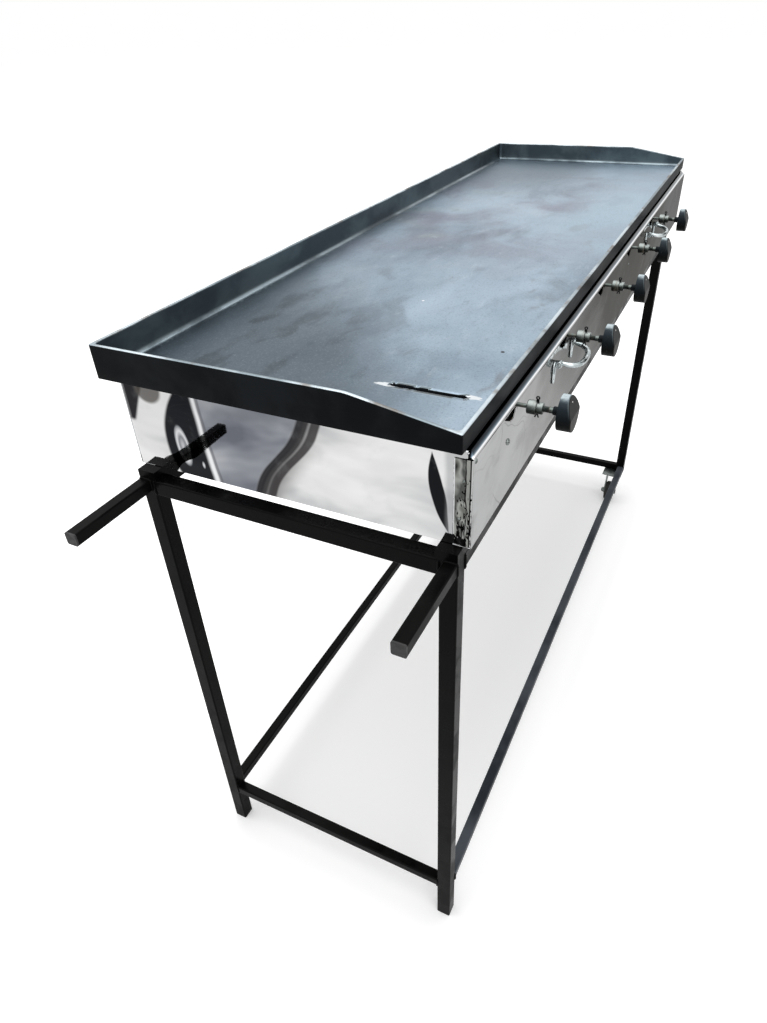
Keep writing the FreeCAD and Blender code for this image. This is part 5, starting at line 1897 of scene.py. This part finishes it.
    def build(self) -> None:
        """Make both bails and their four brackets."""
        material = PatchyFinish(
            "bright_zinc", dark=(0.42, 0.48, 0.49), light=(0.80, 0.85, 0.86), metallic=1.0, smooth=0.18,
            rough=0.36, patch_scale=60.0, grain_scale=900.0, grain_depth=0.00002, speck=(0.16, 0.18, 0.19),
            speck_share=0.3,
        ).build()
        shaded = PatchyFinish(
            "shaded_zinc", dark=(0.03, 0.034, 0.036), light=(0.13, 0.15, 0.16), metallic=1.0, smooth=0.25,
            rough=0.45, patch_scale=160.0, grain_scale=900.0, grain_depth=0.00002,
        ).build()
        brackets = Skin("bail_bracket_plates", Slot.FITTING, "burner_box")
        rims = Skin("bail_bracket_rims", Slot.FITTING, "burner_box")
        for number in (1, 2):
            self.bow(number, material)
            for side in (-1.0, 1.0):
                self.bracket(brackets, rims, self.pivot(number), side)
        brackets.make(shaded, "bail_brackets", crease=45.0)
        rims.make(material, crease=45.0)


@dataclass
class StandWelds:
    """Weld beads where the stand's tubes meet."""

    bead: float = 0.0021
    ripple: float = 0.0022

    def seam(self, skin: Skin, centre: np.ndarray, axis: int, half: float) -> None:
        """Rippled bead round a square tube's end.

        The path is a rounded square round the tube; the bead's radius swings with the
        distance along it, as the puddles of a weld do.

        Args:
            skin: Piece that takes the bead.
            centre: Middle of the tube's end.
            axis: The tube's direction: 0, 1 or 2.
            half: Half of the tube's side.
        """
        turn = np.linspace(0, 2 * math.pi, 97)
        square = np.stack([np.cos(turn), np.sin(turn)], axis=1)
        square = np.sign(square) * np.abs(square) ** 0.28 * (half + 0.0002)
        path = np.zeros((len(turn), 3))
        others = [a for a in range(3) if a != axis]
        path[:, others] = square
        normal = np.eye(3)[axis]
        length = np.concatenate([[0], np.cumsum(np.linalg.norm(np.diff(path, axis=0), axis=1))])
        seed = abs(centre).sum() * 1000
        radius = self.bead * (
            0.72 + 0.16 * np.abs(np.sin(math.pi * length / self.ripple)) + 0.14 * np.sin(length * 160 + seed)
        )
        skin.hoop(tube(centre + path[:-1], radius[:-1], tuple(normal), 9, True))

    def build(self, material: bpy.types.Material) -> None:
        """Seams at both ends of each rail and stretcher, and at the handles.

        Args:
            material: Finish of the beads.
        """
        skin = Skin("stand_weld_beads", Slot.PAINT, "stand")
        along = {"near": 1, "far": 1, "front": 0, "back": 0}
        for kind in ("top_rail", "stretcher"):
            for side, axis in along.items():
                low, high = node_box(f"{kind}_{side}")
                middle, half = (low + high) / 2, (high - low) / 2
                for end in (low[axis], high[axis]):
                    place = middle.copy()
                    place[axis] = end
                    self.seam(skin, place, axis, half[2])
        for side in ("front", "back"):
            low, high = node_box(f"push_handle_{side}")
            place = (low + high) / 2
            place[0] = high[0]
            self.seam(skin, place, 0, (high - low)[2] / 2)
        skin.make(material, crease=80.0)


@dataclass
class CasterFittings:
    """Bolts that hold the casters' plates to the stand."""

    bolt: float = 0.0055
    bolt_height: float = 0.0036
    spacing: float = 0.042
    plate: float = 0.060
    plate_sheet: float = 0.003

    def build(self, material: bpy.types.Material) -> None:
        """Four hexagonal bolt heads under each plate.

        A head's radius is that of its flats over the cosine of the angle from a flat's middle.

        Args:
            material: Finish of the bolts.
        """
        low, high = node_box("caster_plates")
        skin = Skin("caster_plate_bolts", Slot.FITTING, "stand")
        sixth = math.pi / 6
        turn = np.linspace(0, 2 * math.pi, 48, endpoint=False)
        flats = self.bolt * math.cos(sixth) / np.cos((turn + sixth) % (2 * sixth) - sixth) - self.bolt
        r, height = self.bolt, self.bolt_height
        head = [(POLE, 0.0), (r, 0.0), (r, height - 0.0006), (r * 0.9, height), (POLE, height)]
        steps = (-self.spacing / 2, self.spacing / 2)
        for y in (low[1] + self.plate / 2, high[1] - self.plate / 2):
            for dx in steps:
                for dy in steps:
                    place = (high[0] - self.plate / 2 + dx, y + dy, high[2] - self.plate_sheet)
                    skin.solid(lathe(head, place, (0, 0, -1), 48, flats))
        skin.make(material, crease=40.0)


# Studio


@dataclass
class Studio:
    """Pale floor, soft lamps that face one lit point, and the camera at the photograph's place."""

    place: Point = (-1.3610, -0.4532, 1.4064)
    right: Point = (0.4463, -0.8939, -0.0419)
    up: Point = (0.5349, 0.2289, 0.8133)
    forward: Point = (0.7174, 0.3854, -0.5803)
    focal_pixels: float = 707.9
    picture_height: float = 1023.0
    sensor: float = 36.0
    world_strength: float = 0.62
    floor_reach: float = 30.0
    floor_drop: float = 0.0005
    lit: Point = (0.0, 0.0, 0.8)

    def camera(self) -> None:
        """Camera whose axes are the three fitted directions; its long side is the sensor."""
        data = bpy.data.cameras.new("photo_camera")
        data.sensor_width = self.sensor
        data.lens = self.sensor * self.focal_pixels / self.picture_height
        data.clip_start, data.clip_end = 0.05, 100.0
        item = bpy.data.objects.new("photo_camera", data)
        axes = np.column_stack([self.right, self.up, np.negative(self.forward)])
        item.matrix_world = Matrix.Translation(self.place) @ Matrix(axes.tolist()).to_4x4()
        bpy.context.scene.collection.objects.link(item)
        bpy.context.scene.camera = item

    def floor(self) -> None:
        """Large pale floor that keeps the shadow; to the eye alone it glows, faintly under the stand as a
        painted shadow and up to white further out.
        """
        s = Shader("studio_floor")
        base = s.mix((0.90, 0.90, 0.90), (0.92, 0.92, 0.92), s.noise(3.0))
        low, high = node_box("stretcher_near")[0], node_box("stretcher_far")[1]
        middle, half = (low + high) / 2, (high - low) / 2
        away = (abs(s.x - middle[0]) - half[0]).most(abs(s.y - middle[1]) - half[1])
        seen = s.node("ShaderNodeLightPath", {}, {}, "Is Camera Ray")
        # The glow is weaker over the stand's footprint: a painted shadow there, added to the real one.
        glow = s.mix((0.0, 0.0, 0.0), (1.0, 1.0, 1.0), (away.step(-0.12, 0.35) * 0.5 + 0.16) * seen)
        material = s.finish(
            base, 0.9, None, Specular_IOR_Level=0.0, Emission_Color=glow, Emission_Strength=1.0
        )
        side = np.linspace(-self.floor_reach, self.floor_reach, 13)
        grid = surface(side[:, None], side[None], -self.floor_drop)
        mesh = bpy.data.meshes.new("studio_floor")
        index = np.arange(grid.shape[0] * grid.shape[1]).reshape(grid.shape[:2])
        mesh.from_pydata(grid.reshape(-1, 3), [], cells_of(index).reshape(-1, 4).tolist())
        mesh.materials.append(material)
        item = bpy.data.objects.new("studio_floor", mesh)
        bpy.context.scene.collection.objects.link(item)

    def world(self) -> None:
        """White to the eye, to gloss and through glass; a plain level of light otherwise."""
        world = bpy.data.worlds.new("studio_world")
        world.use_nodes = True
        tree = world.node_tree
        back = tree.nodes["Background"]
        path = tree.nodes.new("ShaderNodeLightPath")
        seen = None
        for name in ("Is Camera Ray", "Is Glossy Ray", "Is Transmission Ray"):
            if seen is None:
                seen = path.outputs[name]
                continue
            either = tree.nodes.new("ShaderNodeMath")
            either.operation = "MAXIMUM"
            tree.links.new(seen, either.inputs[0])
            tree.links.new(path.outputs[name], either.inputs[1])
            seen = either.outputs[0]
        level = tree.nodes.new("ShaderNodeMapRange")
        level.inputs["To Min"].default_value = self.world_strength
        level.inputs["To Max"].default_value = 1.0
        tree.links.new(seen, level.inputs["Value"])
        tree.links.new(level.outputs[0], back.inputs["Strength"])
        back.inputs["Color"].default_value = (1, 1, 1, 1)
        bpy.context.scene.world = world

    def lamp(self, name: str, place: Point, size: float, power: float) -> None:
        """One square soft lamp that faces its target.

        Args:
            name: Name of the lamp.
            place: Where it hangs.
            size: Length of its side.
            power: Watts.
        """
        data = bpy.data.lights.new(name, "AREA")
        data.size = size
        data.energy = power
        item = bpy.data.objects.new(name, data)
        item.location = place
        item.rotation_euler = (Vector(self.lit) - Vector(place)).to_track_quat("-Z", "Y").to_euler()
        bpy.context.scene.collection.objects.link(item)

    def build(self) -> None:
        """Set everything up, with plain colour handling."""
        bpy.context.scene.view_settings.view_transform = "Standard"
        self.camera()
        self.floor()
        self.world()
        self.lamp("key_lamp", (-0.3, 0.5, 3.6), size=4.4, power=85.0)
        self.lamp("fill_lamp", (-2.4, -2.2, 2.6), size=2.4, power=14.0)


def dress_nodes(materials: dict[Slot, bpy.types.Material]) -> None:
    """Give every node that stays in view the finish of its slot in the record.

    Args:
        materials: Plain finishes by slot; a slot without one gets the frame steel.
    """
    by_node = {part["node"]: part["material_slot"] for part in frame["record"]["subparts"]}
    # The front stretcher gets the black paint with a painted reflection on it.
    painted_sheen = PAINTED_SHEEN_PAINT.build()
    for name, item in frame["nodes"].items():
        slot = Slot(by_node[name])
        material = painted_sheen if name == "stretcher_front" else materials.get(slot) or materials[Slot.FRAME]
        item.data.materials.clear()
        item.data.materials.append(material)


def main() -> None:
    """Build the studio and every sub-assembly."""
    logging.basicConfig(level=logging.INFO, format="%(message)s")
    materials = {slot: finish.build() for slot, finish in PLAIN_FINISHES.items()}
    Studio().build()
    dress_nodes(materials)
    fitting = materials[Slot.FITTING]
    BurnerBoxSheets().build(fitting)
    GriddlePan().build()
    ControlKnobs().build()
    BailHandles().build()
    StandWelds().build(materials[Slot.PAINT])
    CasterFittings().build(fitting)


if __name__ == "__main__":
    main()
